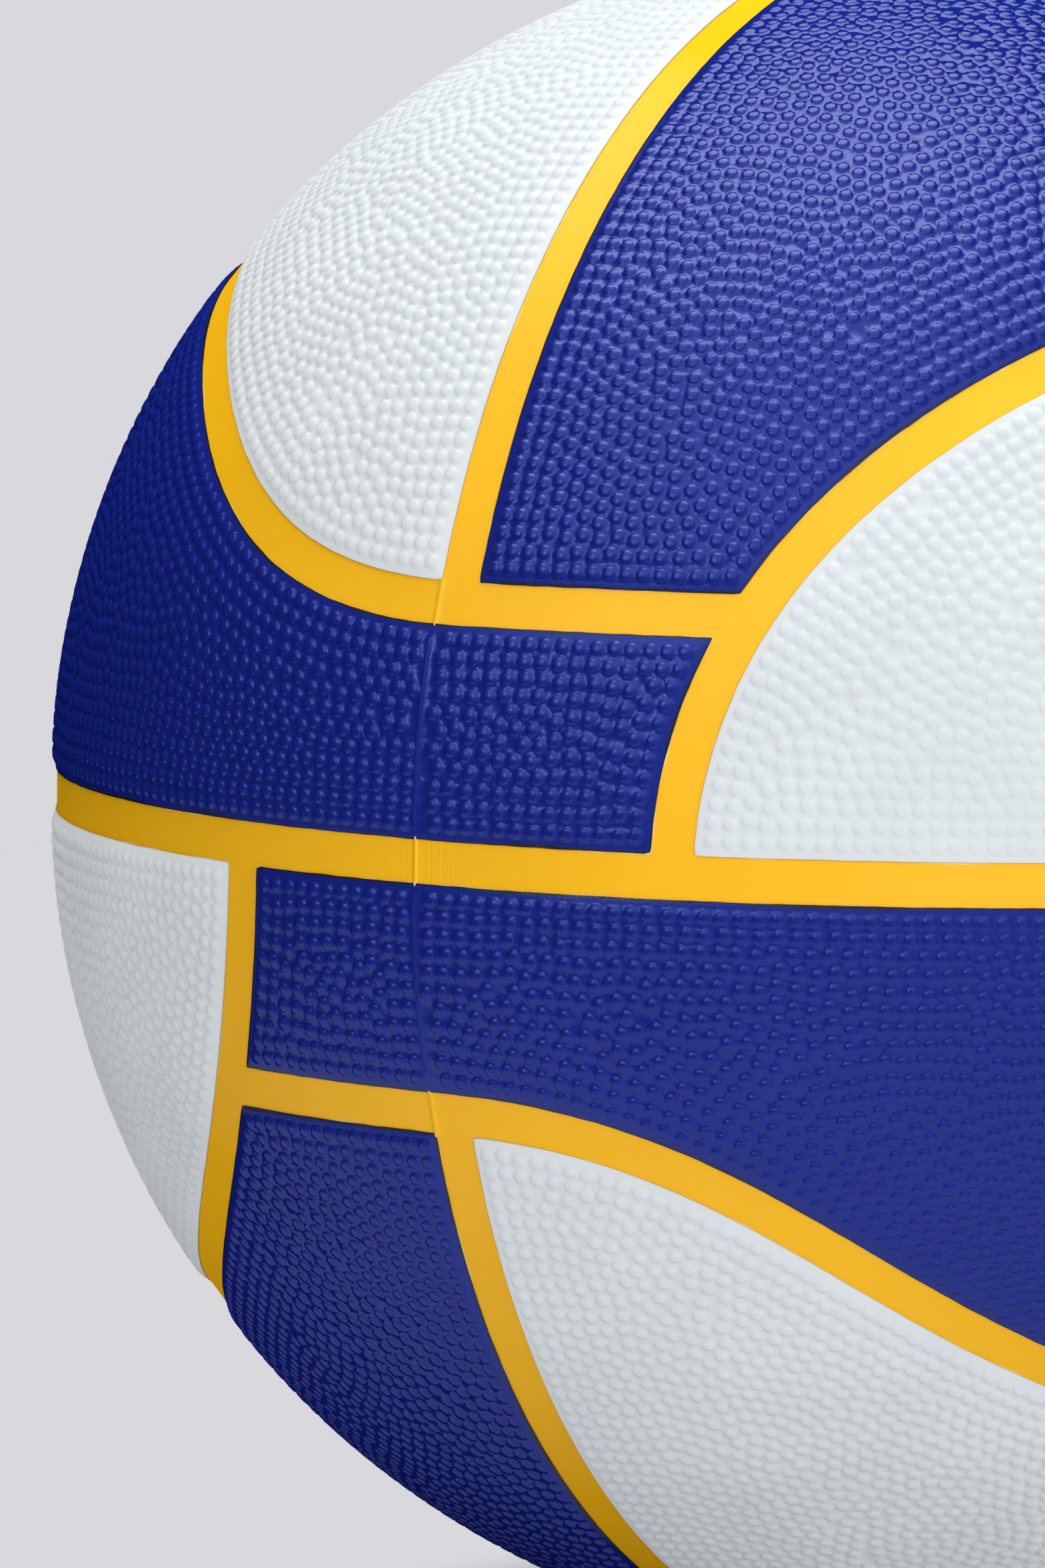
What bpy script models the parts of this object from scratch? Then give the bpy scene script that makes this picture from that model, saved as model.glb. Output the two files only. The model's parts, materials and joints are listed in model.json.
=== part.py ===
"""Basketball of the size 7 class, built the way a moulded rubber ball is made.

Eight rubber panels and seven rubber channel strips lie on a rubber carcass. Under the carcass are
a thread winding and a bladder, and a valve passes through all the layers.

Units are metres, +Z is up and the origin is the centre of the ball. The front of the ball looks
along -Y and its right side along +X. A place on the ball is a longitude, turning from the front to
the right, and a latitude above the equator channel, both in degrees.
"""
import math

import bmesh
import bpy
from mathutils import Matrix, Vector
from mathutils.geometry import interpolate_bezier

# Ball and layers, from the outside in
BALL_RADIUS = 0.1194
PANEL_THICKNESS = 0.0015
CARCASS_THICKNESS = 0.0005
WINDING_THICKNESS = 0.0006
BLADDER_THICKNESS = 0.0005
LAYER_CLEARANCE = 0.0003

# Channels between the panels, and the strips that line them
CHANNEL_WIDTH = 0.0055
EDGE_CHAMFER = 0.0007
STRIP_THICKNESS = 0.0005
STRIP_CLEARANCE = 0.0003

# Channel layout, in degrees: a loop leaves the equator, rises to its top at the side of the ball
# and comes down to a level crossbar on the other face
CROSSING_LON = 16.3
RISE_HANDLE = 23.0
LOOP_TOP_LAT = 41.5
LOOP_TOP_LON = 90.0
TOP_HANDLE_RISE = 51.5
TOP_HANDLE_FALL = 61.5
CROSSBAR_HANDLE = 31.5
CROSSBAR_LAT = 16.3

# Valve, on the right side of the ball
VALVE_LON = 90.0
VALVE_LAT = 21.0
NECK_RADIUS = 0.0050
FACE_RECESS = 0.0003
FLANGE_RADIUS = 0.0150
FLANGE_THICKNESS = 0.0010
PATCH_RADIUS = 0.0155
BOOT_WALL = 0.0018
BOOT_FLOOR = 0.0010
BOOT_MOUTH_RADIUS = 0.0012
PLUG_STEM_RADIUS = 0.0024
PLUG_STEM_LENGTH = 0.0150
PLUG_TAPER_LENGTH = 0.0040
PLUG_TIP_RADIUS = 0.0016
PLUG_HEAD_RADIUS = 0.0034
PLUG_HEAD_THICKNESS = 0.0014
PLUG_HEAD_BEVEL = 0.0004
NEEDLE_RADIUS = 0.0006
VALVE_CLEARANCE = 0.0003

# Fineness of the meshes
COVER_SEGMENTS = 60
COVER_RINGS = 30
SHELL_STEPS = 32
ARC_STEPS = 16
PATH_STEP = 6.0
CURVE_POINTS = 60
CUT_MARGIN = 0.0020
MERGE_DISTANCE = 0.000001
SHARP_ANGLE = 30.0

# Angles that name things: half a turn round the ball, and a latitude that only polar panels reach
HALF_TURN = 180.0
POLAR_LAT = 60.0

# Radii of the layers
COVER_INNER = BALL_RADIUS - PANEL_THICKNESS
CARCASS_OUTER = COVER_INNER - LAYER_CLEARANCE
CARCASS_INNER = CARCASS_OUTER - CARCASS_THICKNESS
WINDING_OUTER = CARCASS_INNER - LAYER_CLEARANCE
WINDING_INNER = WINDING_OUTER - WINDING_THICKNESS
BLADDER_OUTER = WINDING_INNER - LAYER_CLEARANCE
BLADDER_INNER = BLADDER_OUTER - BLADDER_THICKNESS
FLANGE_TOP = BLADDER_INNER - LAYER_CLEARANCE
FLANGE_BOTTOM = FLANGE_TOP - FLANGE_THICKNESS

# A strip follows the ball in straight steps, so it lies higher by the rise of one step
STEP_RISE = BALL_RADIUS * (1.0 - math.cos(math.radians(PATH_STEP) / 2.0))
STRIP_INNER = CARCASS_OUTER + LAYER_CLEARANCE + STEP_RISE
STRIP_OUTER = STRIP_INNER + STRIP_THICKNESS
SLOT_ANGLE = CHANNEL_WIDTH / 2.0 / BALL_RADIUS
STRIP_ANGLE = SLOT_ANGLE - STRIP_CLEARANCE / BALL_RADIUS

# Heights on the valve's axis, from the centre of the ball
VALVE_FACE = BALL_RADIUS - FACE_RECESS
RECESS_FLOOR = VALVE_FACE - PLUG_HEAD_THICKNESS - VALVE_CLEARANCE
PLUG_SHOULDER = VALVE_FACE - PLUG_HEAD_THICKNESS
PLUG_TIP = PLUG_SHOULDER - PLUG_STEM_LENGTH
BOOT_INSIDE = PLUG_TIP - VALVE_CLEARANCE
BOOT_BOTTOM = BOOT_INSIDE - BOOT_FLOOR
BORE_RADIUS = PLUG_STEM_RADIUS + VALVE_CLEARANCE
RECESS_RADIUS = PLUG_HEAD_RADIUS + VALVE_CLEARANCE
BOOT_RADIUS = BORE_RADIUS + BOOT_WALL
NECK_HOLE = NECK_RADIUS + VALVE_CLEARANCE
WINDING_HOLE = PATCH_RADIUS + LAYER_CLEARANCE

# Half turns that carry the upper right loop to its three sisters
LOOPS = {
    "upper_right": Matrix.Identity(3),
    "upper_left": Matrix.Rotation(math.pi, 3, "Z"),
    "lower_left": Matrix.Rotation(math.pi, 3, "Y"),
    "lower_right": Matrix.Rotation(math.pi, 3, "X"),
}
PARTNER = {
    "upper_right": "upper_left",
    "upper_left": "upper_right",
    "lower_left": "lower_right",
    "lower_right": "lower_left",
}
MERIDIANS = {
    "top_meridian": (Matrix.Identity(3), ("upper_right", "upper_left")),
    "bottom_meridian": (Matrix.Rotation(math.pi, 3, "Y"), ("lower_right", "lower_left")),
}
WHITE_PANELS = ("panel_top_left", "panel_bottom_right", "panel_upper_right", "panel_lower_left")


def clear_scene():
    for old in list(bpy.data.objects):
        bpy.data.objects.remove(old, do_unlink=True)


def new_collection(name):
    collection = bpy.data.collections.new(name)
    bpy.context.scene.collection.children.link(collection)
    return collection


def linear(hex_colour):
    channels = [int(hex_colour[i:i + 2], 16) / 255.0 for i in (0, 2, 4)]
    return [c / 12.92 if c <= 0.04045 else ((c + 0.055) / 1.055) ** 2.4 for c in channels] + [1.0]


def new_material(name, hex_colour, roughness):
    material = bpy.data.materials.new(name)
    material.use_nodes = True
    shader = material.node_tree.nodes["Principled BSDF"]
    shader.inputs["Base Color"].default_value = linear(hex_colour)
    shader.inputs["Roughness"].default_value = roughness
    shader.inputs["Metallic"].default_value = 0.0
    return material


def new_object(name, mesh, collection, material=None):
    thing = bpy.data.objects.new(name, mesh)
    collection.objects.link(thing)
    if material:
        mesh.materials.clear()
        mesh.materials.append(material)
    return thing


def as_cutter(thing):
    thing.hide_render = True
    thing.display_type = "WIRE"
    return thing


def cut(thing, cutter):
    modifier = thing.modifiers.new("cut_" + cutter.name, "BOOLEAN")
    modifier.operation = "DIFFERENCE"
    modifier.object = cutter
    return modifier


# Places and paths on the ball

def place(lon, lat):
    lon, lat = math.radians(lon), math.radians(lat)
    return Vector((math.cos(lat) * math.sin(lon), -math.cos(lat) * math.cos(lon), math.sin(lat)))


def even_steps(points, step):
    """Read a path on the unit sphere at even steps, of the given angle or a little less."""
    lengths = [0.0]
    for a, b in zip(points, points[1:]):
        lengths.append(lengths[-1] + a.angle(b))
    count = math.ceil(lengths[-1] / math.radians(step))
    result = []
    index = 0
    for i in range(count + 1):
        wanted = lengths[-1] * i / count
        while index < len(points) - 2 and lengths[index + 1] < wanted:
            index += 1
        share = (wanted - lengths[index]) / (lengths[index + 1] - lengths[index])
        result.append(points[index].lerp(points[index + 1], share).normalized())
    return result


def loop_rise():
    """From the equator up to the top of the loop at the side of the ball."""
    curve = interpolate_bezier(
        Vector((CROSSING_LON, 0.0)),
        Vector((CROSSING_LON, RISE_HANDLE)),
        Vector((LOOP_TOP_LON - TOP_HANDLE_RISE, LOOP_TOP_LAT)),
        Vector((LOOP_TOP_LON, LOOP_TOP_LAT)),
        CURVE_POINTS,
    )
    return [(p.x, p.y) for p in curve]


def loop_fall():
    """From the top of the loop down to the crossbar on the other face, and along it to its end."""
    curve = interpolate_bezier(
        Vector((LOOP_TOP_LON, LOOP_TOP_LAT)),
        Vector((LOOP_TOP_LON + TOP_HANDLE_FALL, LOOP_TOP_LAT)),
        Vector((HALF_TURN - CROSSBAR_HANDLE, CROSSBAR_LAT)),
        Vector((HALF_TURN, CROSSBAR_LAT)),
        CURVE_POINTS,
    )
    meets = next(lon for lon, lat in loop_rise() if lat >= CROSSBAR_LAT)
    bar = [(HALF_TURN + meets * i / CURVE_POINTS, CROSSBAR_LAT)
           for i in range(1, CURVE_POINTS + 1)]
    return [(p.x, p.y) for p in curve] + bar


def path_of(lon_lats, turn):
    return even_steps([turn @ place(lon, lat) for lon, lat in lon_lats], PATH_STEP)


def meridian_path(turn):
    """Over the pole, from the front crossbar to the back one."""
    span = HALF_TURN - 2.0 * CROSSBAR_LAT
    over = [(0.0, CROSSBAR_LAT + span * i / CURVE_POINTS) for i in range(CURVE_POINTS + 1)]
    return path_of(over, turn)


def equator_path():
    count = math.ceil(2.0 * HALF_TURN / PATH_STEP)
    return [place(2.0 * HALF_TURN * i / count, 0.0) for i in range(count)]


def ribbon(name, path, section, closed, collection, material=None):
    """Loft a section, given as (sideways angle, radius) corners, along a path on the ball."""
    mesh = bmesh.new()
    rings = []
    last = len(path) - 1
    for i, normal in enumerate(path):
        before = path[i - 1] if closed or i > 0 else normal
        after = path[(i + 1) % len(path)] if closed or i < last else normal
        side = normal.cross(after - before).normalized()
        ring = []
        for angle, radius in section:
            ring.append(mesh.verts.new(radius * (normal * math.cos(angle) + side * math.sin(angle))))
        rings.append(ring)
    pairs = list(zip(rings, rings[1:]))
    if closed:
        pairs.append((rings[-1], rings[0]))
    for ring, following in pairs:
        for k in range(len(section)):
            n = (k + 1) % len(section)
            mesh.faces.new((ring[k], ring[n], following[n], following[k]))
    if not closed:
        mesh.faces.new(reversed(rings[0]))
        mesh.faces.new(rings[-1])
    bmesh.ops.recalc_face_normals(mesh, faces=mesh.faces)
    data = bpy.data.meshes.new(name)
    mesh.to_mesh(data)
    mesh.free()
    return new_object(name, data, collection, material)


def slot_section():
    """A channel's cut: upright walls, then a chamfer that opens past the ball's surface."""
    low = COVER_INNER - CUT_MARGIN
    bend = BALL_RADIUS - EDGE_CHAMFER
    high = BALL_RADIUS + CUT_MARGIN
    flare = SLOT_ANGLE + (high - bend) / BALL_RADIUS
    return [(-SLOT_ANGLE, low), (SLOT_ANGLE, low), (SLOT_ANGLE, bend),
            (flare, high), (-flare, high), (-SLOT_ANGLE, bend)]


def strip_section():
    return [(-STRIP_ANGLE, STRIP_INNER), (STRIP_ANGLE, STRIP_INNER),
            (STRIP_ANGLE, STRIP_OUTER), (-STRIP_ANGLE, STRIP_OUTER)]


def trim_section():
    """Ends another strip a clearance short of this one."""
    wide = STRIP_ANGLE + STRIP_CLEARANCE / BALL_RADIUS
    low, high = STRIP_INNER - CUT_MARGIN, STRIP_OUTER + CUT_MARGIN
    return [(-wide, low), (wide, low), (wide, high), (-wide, high)]


# Turned pieces, on the valve's axis

def arc(radius, start, end=math.pi):
    """Points down a shell's side, from an angle off the valve's axis to the far pole."""
    shared = [WINDING_HOLE / WINDING_OUTER] + [math.pi * i / ARC_STEPS for i in range(1, ARC_STEPS)]
    angles = [start] + [a for a in shared if start < a < end] + [end]
    return [(radius * math.sin(a), radius * math.cos(a)) for a in angles]


def turned(name, profile, closed, axis, collection, material=None):
    """Turn a profile of (distance from the axis, height) points about the valve's axis."""
    mesh = bpy.data.meshes.new(name)
    edges = [(i, i + 1) for i in range(len(profile) - 1)]
    if closed:
        edges.append((len(profile) - 1, 0))
    mesh.from_pydata([(max(x, 0.0), 0.0, z) for x, z in profile], edges, [])
    thing = new_object(name, mesh, collection, material)
    thing.parent = axis
    screw = thing.modifiers.new("turn", "SCREW")
    screw.axis = "Z"
    screw.steps = SHELL_STEPS
    screw.render_steps = SHELL_STEPS
    screw.use_merge_vertices = True
    screw.merge_threshold = MERGE_DISTANCE
    screw.use_smooth_shade = True
    return thing


def on_axis(points):
    """Put a profile's last point exactly on the axis."""
    return points[:-1] + [(0.0, points[-1][1])]


def shell(name, outer, inner, hole, axis, collection, material):
    """A layer of the ball, open at the valve: down its outside to the far pole and up its inside."""
    outside = on_axis(arc(outer, math.asin(hole / outer)))
    inside = on_axis(arc(inner, math.asin(hole / inner)))
    return turned(name, outside + inside[::-1], True, axis, collection, material)


def make_valve_axis(collection):
    axis = bpy.data.objects.new("valve_axis", None)
    collection.objects.link(axis)
    axis.rotation_mode = "QUATERNION"
    axis.rotation_quaternion = place(VALVE_LON, VALVE_LAT).to_track_quat("Z", "Y")
    return axis


def make_layers(axis, parts, looks):
    shell("carcass", CARCASS_OUTER, CARCASS_INNER, NECK_HOLE, axis, parts, looks["carcass"])
    shell("thread_winding", WINDING_OUTER, WINDING_INNER, WINDING_HOLE, axis, parts, looks["thread"])
    shell("bladder", BLADDER_OUTER, BLADDER_INNER, NECK_HOLE, axis, parts, looks["butyl"])


def make_valve_patch(axis, parts, looks):
    """A disc round the valve's neck, in the bare circle that the winding leaves."""
    top = arc(WINDING_OUTER, math.asin(NECK_HOLE / WINDING_OUTER), PATCH_RADIUS / WINDING_OUTER)
    under = arc(WINDING_INNER, math.asin(NECK_HOLE / WINDING_INNER), PATCH_RADIUS / WINDING_OUTER)
    turned("valve_patch", top + under[::-1], True, axis, parts, looks["butyl"])


def make_valve_housing(axis, parts, looks):
    """The neck through the layers, a flange under the bladder and a boot that holds the plug."""
    top = arc(FLANGE_TOP, math.asin(NECK_RADIUS / FLANGE_TOP), FLANGE_RADIUS / FLANGE_TOP)
    under = arc(FLANGE_BOTTOM, math.asin(BOOT_RADIUS / FLANGE_BOTTOM), FLANGE_RADIUS / FLANGE_TOP)
    neck = [(NECK_RADIUS, VALVE_FACE)]
    boot = [(BOOT_RADIUS, BOOT_BOTTOM), (BOOT_MOUTH_RADIUS, BOOT_BOTTOM),
            (BOOT_MOUTH_RADIUS, BOOT_INSIDE), (BORE_RADIUS, BOOT_INSIDE)]
    recess = [(BORE_RADIUS, RECESS_FLOOR), (RECESS_RADIUS, RECESS_FLOOR), (RECESS_RADIUS, VALVE_FACE)]
    profile = neck + top + under[::-1] + boot + recess
    turned("valve_housing", profile, True, axis, parts, looks["valve"])


def make_valve_plug(axis, parts, looks):
    """A headed plug with a tapered tip, pierced for the pump's needle. It pulls out along the axis."""
    profile = [
        (NEEDLE_RADIUS, VALVE_FACE),
        (PLUG_HEAD_RADIUS - PLUG_HEAD_BEVEL, VALVE_FACE),
        (PLUG_HEAD_RADIUS, VALVE_FACE - PLUG_HEAD_BEVEL),
        (PLUG_HEAD_RADIUS, PLUG_SHOULDER),
        (PLUG_STEM_RADIUS, PLUG_SHOULDER),
        (PLUG_STEM_RADIUS, PLUG_TIP + PLUG_TAPER_LENGTH),
        (PLUG_TIP_RADIUS, PLUG_TIP),
        (NEEDLE_RADIUS, PLUG_TIP),
    ]
    turned("valve_plug", profile, True, axis, parts, looks["valve"])


# The cover

def make_slot_cutters(cutters):
    slots = [ribbon("slot_equator", equator_path(), slot_section(), True, cutters)]
    for name, turn in LOOPS.items():
        path = path_of(loop_rise() + loop_fall()[1:], turn)
        slots.append(ribbon("slot_loop_" + name, path, slot_section(), False, cutters))
    for name, (turn, crossbars) in MERIDIANS.items():
        slots.append(ribbon("slot_" + name, meridian_path(turn), slot_section(), False, cutters))
    return [as_cutter(slot) for slot in slots]


def make_cover(axis, cutters):
    """The whole cover: a ball, hollowed, pierced for the valve and cut along every channel."""
    bpy.ops.mesh.primitive_uv_sphere_add(
        segments=COVER_SEGMENTS, ring_count=COVER_RINGS, radius=BALL_RADIUS)
    cover = bpy.context.object
    cover.name = "cover"
    hollow = as_cutter(turned("cover_hollow", hollow_profile(), False, axis, cutters))
    bpy.ops.mesh.primitive_cylinder_add(
        vertices=SHELL_STEPS, radius=NECK_HOLE, depth=BALL_RADIUS)
    bore = as_cutter(bpy.context.object)
    bore.name = "cover_bore"
    bore.data.transform(Matrix.Translation((0.0, 0.0, BALL_RADIUS)))
    bore.parent = axis
    for cutter in [hollow, bore] + make_slot_cutters(cutters):
        cut(cover, cutter)
    return cover


def hollow_profile():
    return [(0.0, COVER_INNER)] + on_axis(arc(COVER_INNER, math.asin(NECK_HOLE / COVER_INNER)))


def panel_name(centre, is_polar):
    side = "right" if centre.x > 0.0 else "left"
    if is_polar:
        return "panel_" + ("top_" if centre.z > 0.0 else "bottom_") + side
    return "panel_" + ("upper_" if centre.z > 0.0 else "lower_") + side


def make_panels(cover, parts, looks):
    """Split the cut cover into its eight panels and name each by where its middle lies."""
    graph = bpy.context.evaluated_depsgraph_get()
    whole = bpy.data.meshes.new_from_object(cover.evaluated_get(graph))
    bpy.data.objects.remove(cover, do_unlink=True)
    pieces = new_object("cover", whole, parts)
    bpy.ops.object.select_all(action="DESELECT")
    bpy.context.view_layer.objects.active = pieces
    pieces.select_set(True)
    bpy.ops.object.mode_set(mode="EDIT")
    bpy.ops.mesh.select_all(action="SELECT")
    bpy.ops.mesh.separate(type="LOOSE")
    bpy.ops.object.mode_set(mode="OBJECT")
    for panel in list(bpy.context.selected_objects):
        corners = [v.co for v in panel.data.vertices]
        centre = sum(corners, Vector()) / len(corners)
        highest = max(abs(v.z) for v in corners)
        panel.name = panel_name(centre, highest > BALL_RADIUS * math.sin(math.radians(POLAR_LAT)))
        panel.data.name = panel.name
        panel.data.materials.clear()
        panel.data.materials.append(looks["white" if panel.name in WHITE_PANELS else "blue"])
        panel.data.shade_smooth()
        panel.data.set_sharp_from_angle(angle=math.radians(SHARP_ANGLE))


def make_strips(parts, cutters, looks):
    yellow = looks["yellow"]
    ribbon("equator_strip", equator_path(), strip_section(), True, parts, yellow)
    trim_equator = as_cutter(
        ribbon("trim_equator", equator_path(), trim_section(), True, cutters))
    trim_rise = {}
    trim_fall = {}
    for name, turn in LOOPS.items():
        rise, fall = path_of(loop_rise(), turn), path_of(loop_fall(), turn)
        trim_rise[name] = as_cutter(
            ribbon("trim_rise_" + name, rise, trim_section(), False, cutters))
        trim_fall[name] = as_cutter(
            ribbon("trim_fall_" + name, fall, trim_section(), False, cutters))
    for name, turn in LOOPS.items():
        path = path_of(loop_rise() + loop_fall()[1:], turn)
        strip = ribbon("loop_strip_" + name, path, strip_section(), False, parts, yellow)
        cut(strip, trim_equator)
        cut(strip, trim_rise[PARTNER[name]])
    for name, (turn, crossbars) in MERIDIANS.items():
        path = meridian_path(turn)
        strip = ribbon(name + "_strip", path, strip_section(), False, parts, yellow)
        for loop in crossbars:
            cut(strip, trim_fall[loop])


def main():
    clear_scene()
    parts = new_collection("basketball")
    cutters = new_collection("cutters")
    looks = {
        "white": new_material("white_rubber", "DFE4E6", 0.45),
        "blue": new_material("blue_rubber", "273082", 0.40),
        "yellow": new_material("yellow_rubber", "FCBC24", 0.45),
        "carcass": new_material("carcass_rubber", "3A3432", 0.75),
        "thread": new_material("nylon_thread", "D8D2C0", 0.80),
        "butyl": new_material("butyl_rubber", "1E1E20", 0.60),
        "valve": new_material("valve_rubber", "26262A", 0.55),
    }
    axis = make_valve_axis(parts)
    bpy.context.view_layer.update()
    make_panels(make_cover(axis, cutters), parts, looks)
    make_strips(parts, cutters, looks)
    make_layers(axis, parts, looks)
    make_valve_patch(axis, parts, looks)
    make_valve_housing(axis, parts, looks)
    make_valve_plug(axis, parts, looks)


if __name__ == "__main__":
    main()
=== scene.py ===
"""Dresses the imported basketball: pebbled rubber panels, moulded channel strips and the valve.

Lengths are metres and angles degrees, unless a name says otherwise. A place on the ball is a unit
vector from its centre. Longitude turns from the front of the ball to its right, and latitude rises
from the equator channel.
"""
import heapq
import itertools
import json
import math

import bpy
import numpy as np
from mathutils import Matrix, Vector, kdtree, noise
from mathutils.geometry import delaunay_2d_cdt, interpolate_bezier


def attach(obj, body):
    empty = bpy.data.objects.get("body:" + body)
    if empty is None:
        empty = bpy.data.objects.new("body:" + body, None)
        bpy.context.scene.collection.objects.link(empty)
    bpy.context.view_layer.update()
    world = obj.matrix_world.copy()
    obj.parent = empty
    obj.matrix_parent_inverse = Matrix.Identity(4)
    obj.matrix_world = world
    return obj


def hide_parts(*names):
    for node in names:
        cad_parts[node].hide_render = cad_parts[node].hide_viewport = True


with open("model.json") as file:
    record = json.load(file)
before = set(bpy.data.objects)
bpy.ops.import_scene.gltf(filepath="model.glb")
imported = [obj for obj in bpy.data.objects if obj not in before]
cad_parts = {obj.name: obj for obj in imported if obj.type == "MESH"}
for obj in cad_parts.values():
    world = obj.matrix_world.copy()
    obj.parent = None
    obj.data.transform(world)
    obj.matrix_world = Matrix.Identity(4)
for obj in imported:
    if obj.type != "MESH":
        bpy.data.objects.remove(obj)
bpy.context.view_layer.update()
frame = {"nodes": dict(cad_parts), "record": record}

bl_info = {
    "name": "Basketball Dresser",
    "version": (1, 0, 0),
    "blender": (4, 5, 0),
    "location": "View3D > Sidebar > Basketball",
    "description": "Pebbled panels, channel strips, valve and studio for a moulded rubber basketball",
    "category": "Object",
}

MM = 0.001

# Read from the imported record: the ball's radius, and where the valve comes through the cover
MOUNTS = {mount["name"]: mount for mount in frame["record"]["mounts"]}
BALL_RADIUS = -MOUNTS["rest_point"]["pos_m"][2]
VALVE_AXIS = Vector(MOUNTS["valve_face"]["axis"]).normalized()
VALVE_FACE = Vector(MOUNTS["valve_face"]["pos_m"]).dot(VALVE_AXIS)

# Channel layout of the CAD model: a loop leaves the equator, rises to its top at the side of the
# ball and comes down to a level crossbar on the other face
CROSSING_LON = 16.3
RISE_HANDLE = 23.0
LOOP_TOP_LAT = 41.5
LOOP_TOP_LON = 90.0
TOP_HANDLE_RISE = 51.5
TOP_HANDLE_FALL = 61.5
CROSSBAR_HANDLE = 31.5
CROSSBAR_LAT = 16.3
HALF_TURN = 180.0

# Half turns that carry the upper right loop and panels to their sisters, as signs on x, y and z
HALF_TURNS = {
    "upper_right": (1.0, 1.0, 1.0),
    "upper_left": (-1.0, -1.0, 1.0),
    "lower_left": (-1.0, 1.0, -1.0),
    "lower_right": (1.0, -1.0, -1.0),
}
POLAR_NAMES = {
    "upper_right": "top_right",
    "upper_left": "top_left",
    "lower_left": "bottom_left",
    "lower_right": "bottom_right",
}
WHITE_PANELS = ("top_left", "bottom_right", "upper_right", "lower_left")

# Panel cover: its inner face, the pillow of its middle and the rounded shoulder at its edge
COVER_INNER = BALL_RADIUS - 1.5 * MM
CROWN = -0.10 * MM
PILLOW_DROP = 0.20 * MM
PILLOW_REACH = 10.0 * MM
SHOULDER_DROP = 0.32 * MM
SHOULDER_WIDTH = 2.8 * MM
LIP_UNDERSIDE = BALL_RADIUS - 0.74 * MM
LIP_OVERHANG = 0.6 * MM
EDGE_ROWS = (0.3 * MM, 0.55 * MM, 0.8 * MM)
EDGE_STEP = 0.9 * MM
EDGE_WANDER = 0.07 * MM
EDGE_WANDER_LENGTH = 2.2 * MM
INNER_STEP = 9.0 * MM
HOLE_MARGIN = 2.0 * INNER_STEP

# Strip in a channel: it reaches a little under the panels' lips on both sides
STRIP_UNDERLAP = 0.5 * MM
STRIP_THICKNESS = 0.45 * MM
STRIP_DISH = 0.05 * MM
STRIP_STEP = 1.0 * MM
STRIP_COLUMNS = 10
STRIP_JOINT = 0.005 * MM

# Mould's parting line: a fine seam beside the middle of the front and of the back. Its section on
# the panels is two fine ridges side by side, as shares of its half width and of its height
PARTING_OFFSET = 2.9 * MM
PARTING_HALF_WIDTH = 0.32 * MM
PARTING_HEIGHT = 0.16 * MM
PARTING_STEP = 0.6 * MM
PARTING_SECTION = ((-1.0, 0.0), (-0.5, 1.0), (0.0, 0.35), (0.5, 1.0), (1.0, 0.0))
PARTING_START = EDGE_ROWS[-1] + 0.2 * MM
PARTING_FADE_START = 1.2 * MM
PARTING_FADE_LENGTH = 1.0 * MM
STRIP_RIDGE_HEIGHT = 0.26 * MM
STRIP_RIDGE_WIDTH = 0.28 * MM
RIPPLE_HEIGHT = 0.05 * MM
RIPPLE_LENGTH = 0.62 * MM
RIPPLE_REACH = 5.0 * MM
RIPPLE_LEFT_SHARE = 0.5
RIPPLE_SWELL = 2.7
RIPPLE_UNEVENNESS = 0.35
FINE_STEP = 0.12 * MM
FINE_REACH = 11.0 * MM

# Pebbles: rings of points, as shares of a pebble's radius and height
PEBBLE_SIDES = 8
PEBBLE_RINGS = ((1.0, 0.0), (0.82, 0.62), (0.5, 0.94))
PEBBLE_VARIATION = 0.02
PEBBLE_WANDER = 0.12 * MM
FOOT_ANGLE = 60.0
SEED = 7

# First row along the edge: lower than the rest, and told from it by a share of the pitch
FIRST_ROW_RELIEF = 0.85
FIRST_ROW_SLACK = 0.1 * MM
FIRST_ROW_BAND = 0.3

# Rows behind it, as shares of the pitch: neat near the edge, looser toward a panel's middle
ROW_SHARE = 0.95
ROW_GAIN = 0.5
PACKING_CLEARANCE = 0.88
GAP_CLEARANCE = 0.88
ROWS_DEPTH = 6.0 * MM
LOOSE_DEPTH = 16.0 * MM
LOOSE_SHARE = 0.22

# Evening out of the pebbles
FILL_ROUNDS = 3
RELAX_ROUNDS = 12
RELAX_REFRESH = 4
RELAX_REACH = 1.05
RELAX_SHARE = 0.25

# Finer steps of the working paths
PATH_STEP = 0.25 * MM
CURVE_POINTS = 400
CORNER_PASSES = 2
MERGE_DISTANCE = 0.002 * MM
TRIANGLE_TOLERANCE = 1e-9
SHARP_ANGLE = 40.0

# Hole for the valve's neck: rings of (distance from the axis, drop below the ball's radius)
VALVE_SIDES = 48
VALVE_LIP = ((5.3 * MM, 0.6 * MM), (5.5 * MM, 0.32 * MM), (6.0 * MM, 0.16 * MM), (7.0 * MM, 0.1 * MM))

# Valve housing and plug, with the CAD model's sizes and a few softer edges
NECK_RADIUS = 5.0 * MM
NECK_CHAMFER = 0.25 * MM
RECESS_RADIUS = 3.7 * MM
RECESS_CHAMFER = 0.2 * MM
BORE_RADIUS = 2.7 * MM
BOOT_RADIUS = 4.5 * MM
BOOT_MOUTH_RADIUS = 1.2 * MM
FLANGE_RADIUS = 15.0 * MM
FLANGE_TOP = BALL_RADIUS - 4.3 * MM
FLANGE_BOTTOM = FLANGE_TOP - 1.0 * MM
HEAD_RADIUS = 3.4 * MM
HEAD_CHAMFER = 0.4 * MM
DISH_RADIUS = 1.9 * MM
DISH_DEPTH = 0.45 * MM
DISH_MIDDLE = (0.6, 0.7)
STEM_RADIUS = 2.4 * MM
TIP_RADIUS = 1.6 * MM
TAPER_LENGTH = 4.0 * MM
NEEDLE_RADIUS = 0.6 * MM
PLUG_SHOULDER = VALVE_FACE - 1.4 * MM
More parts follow.
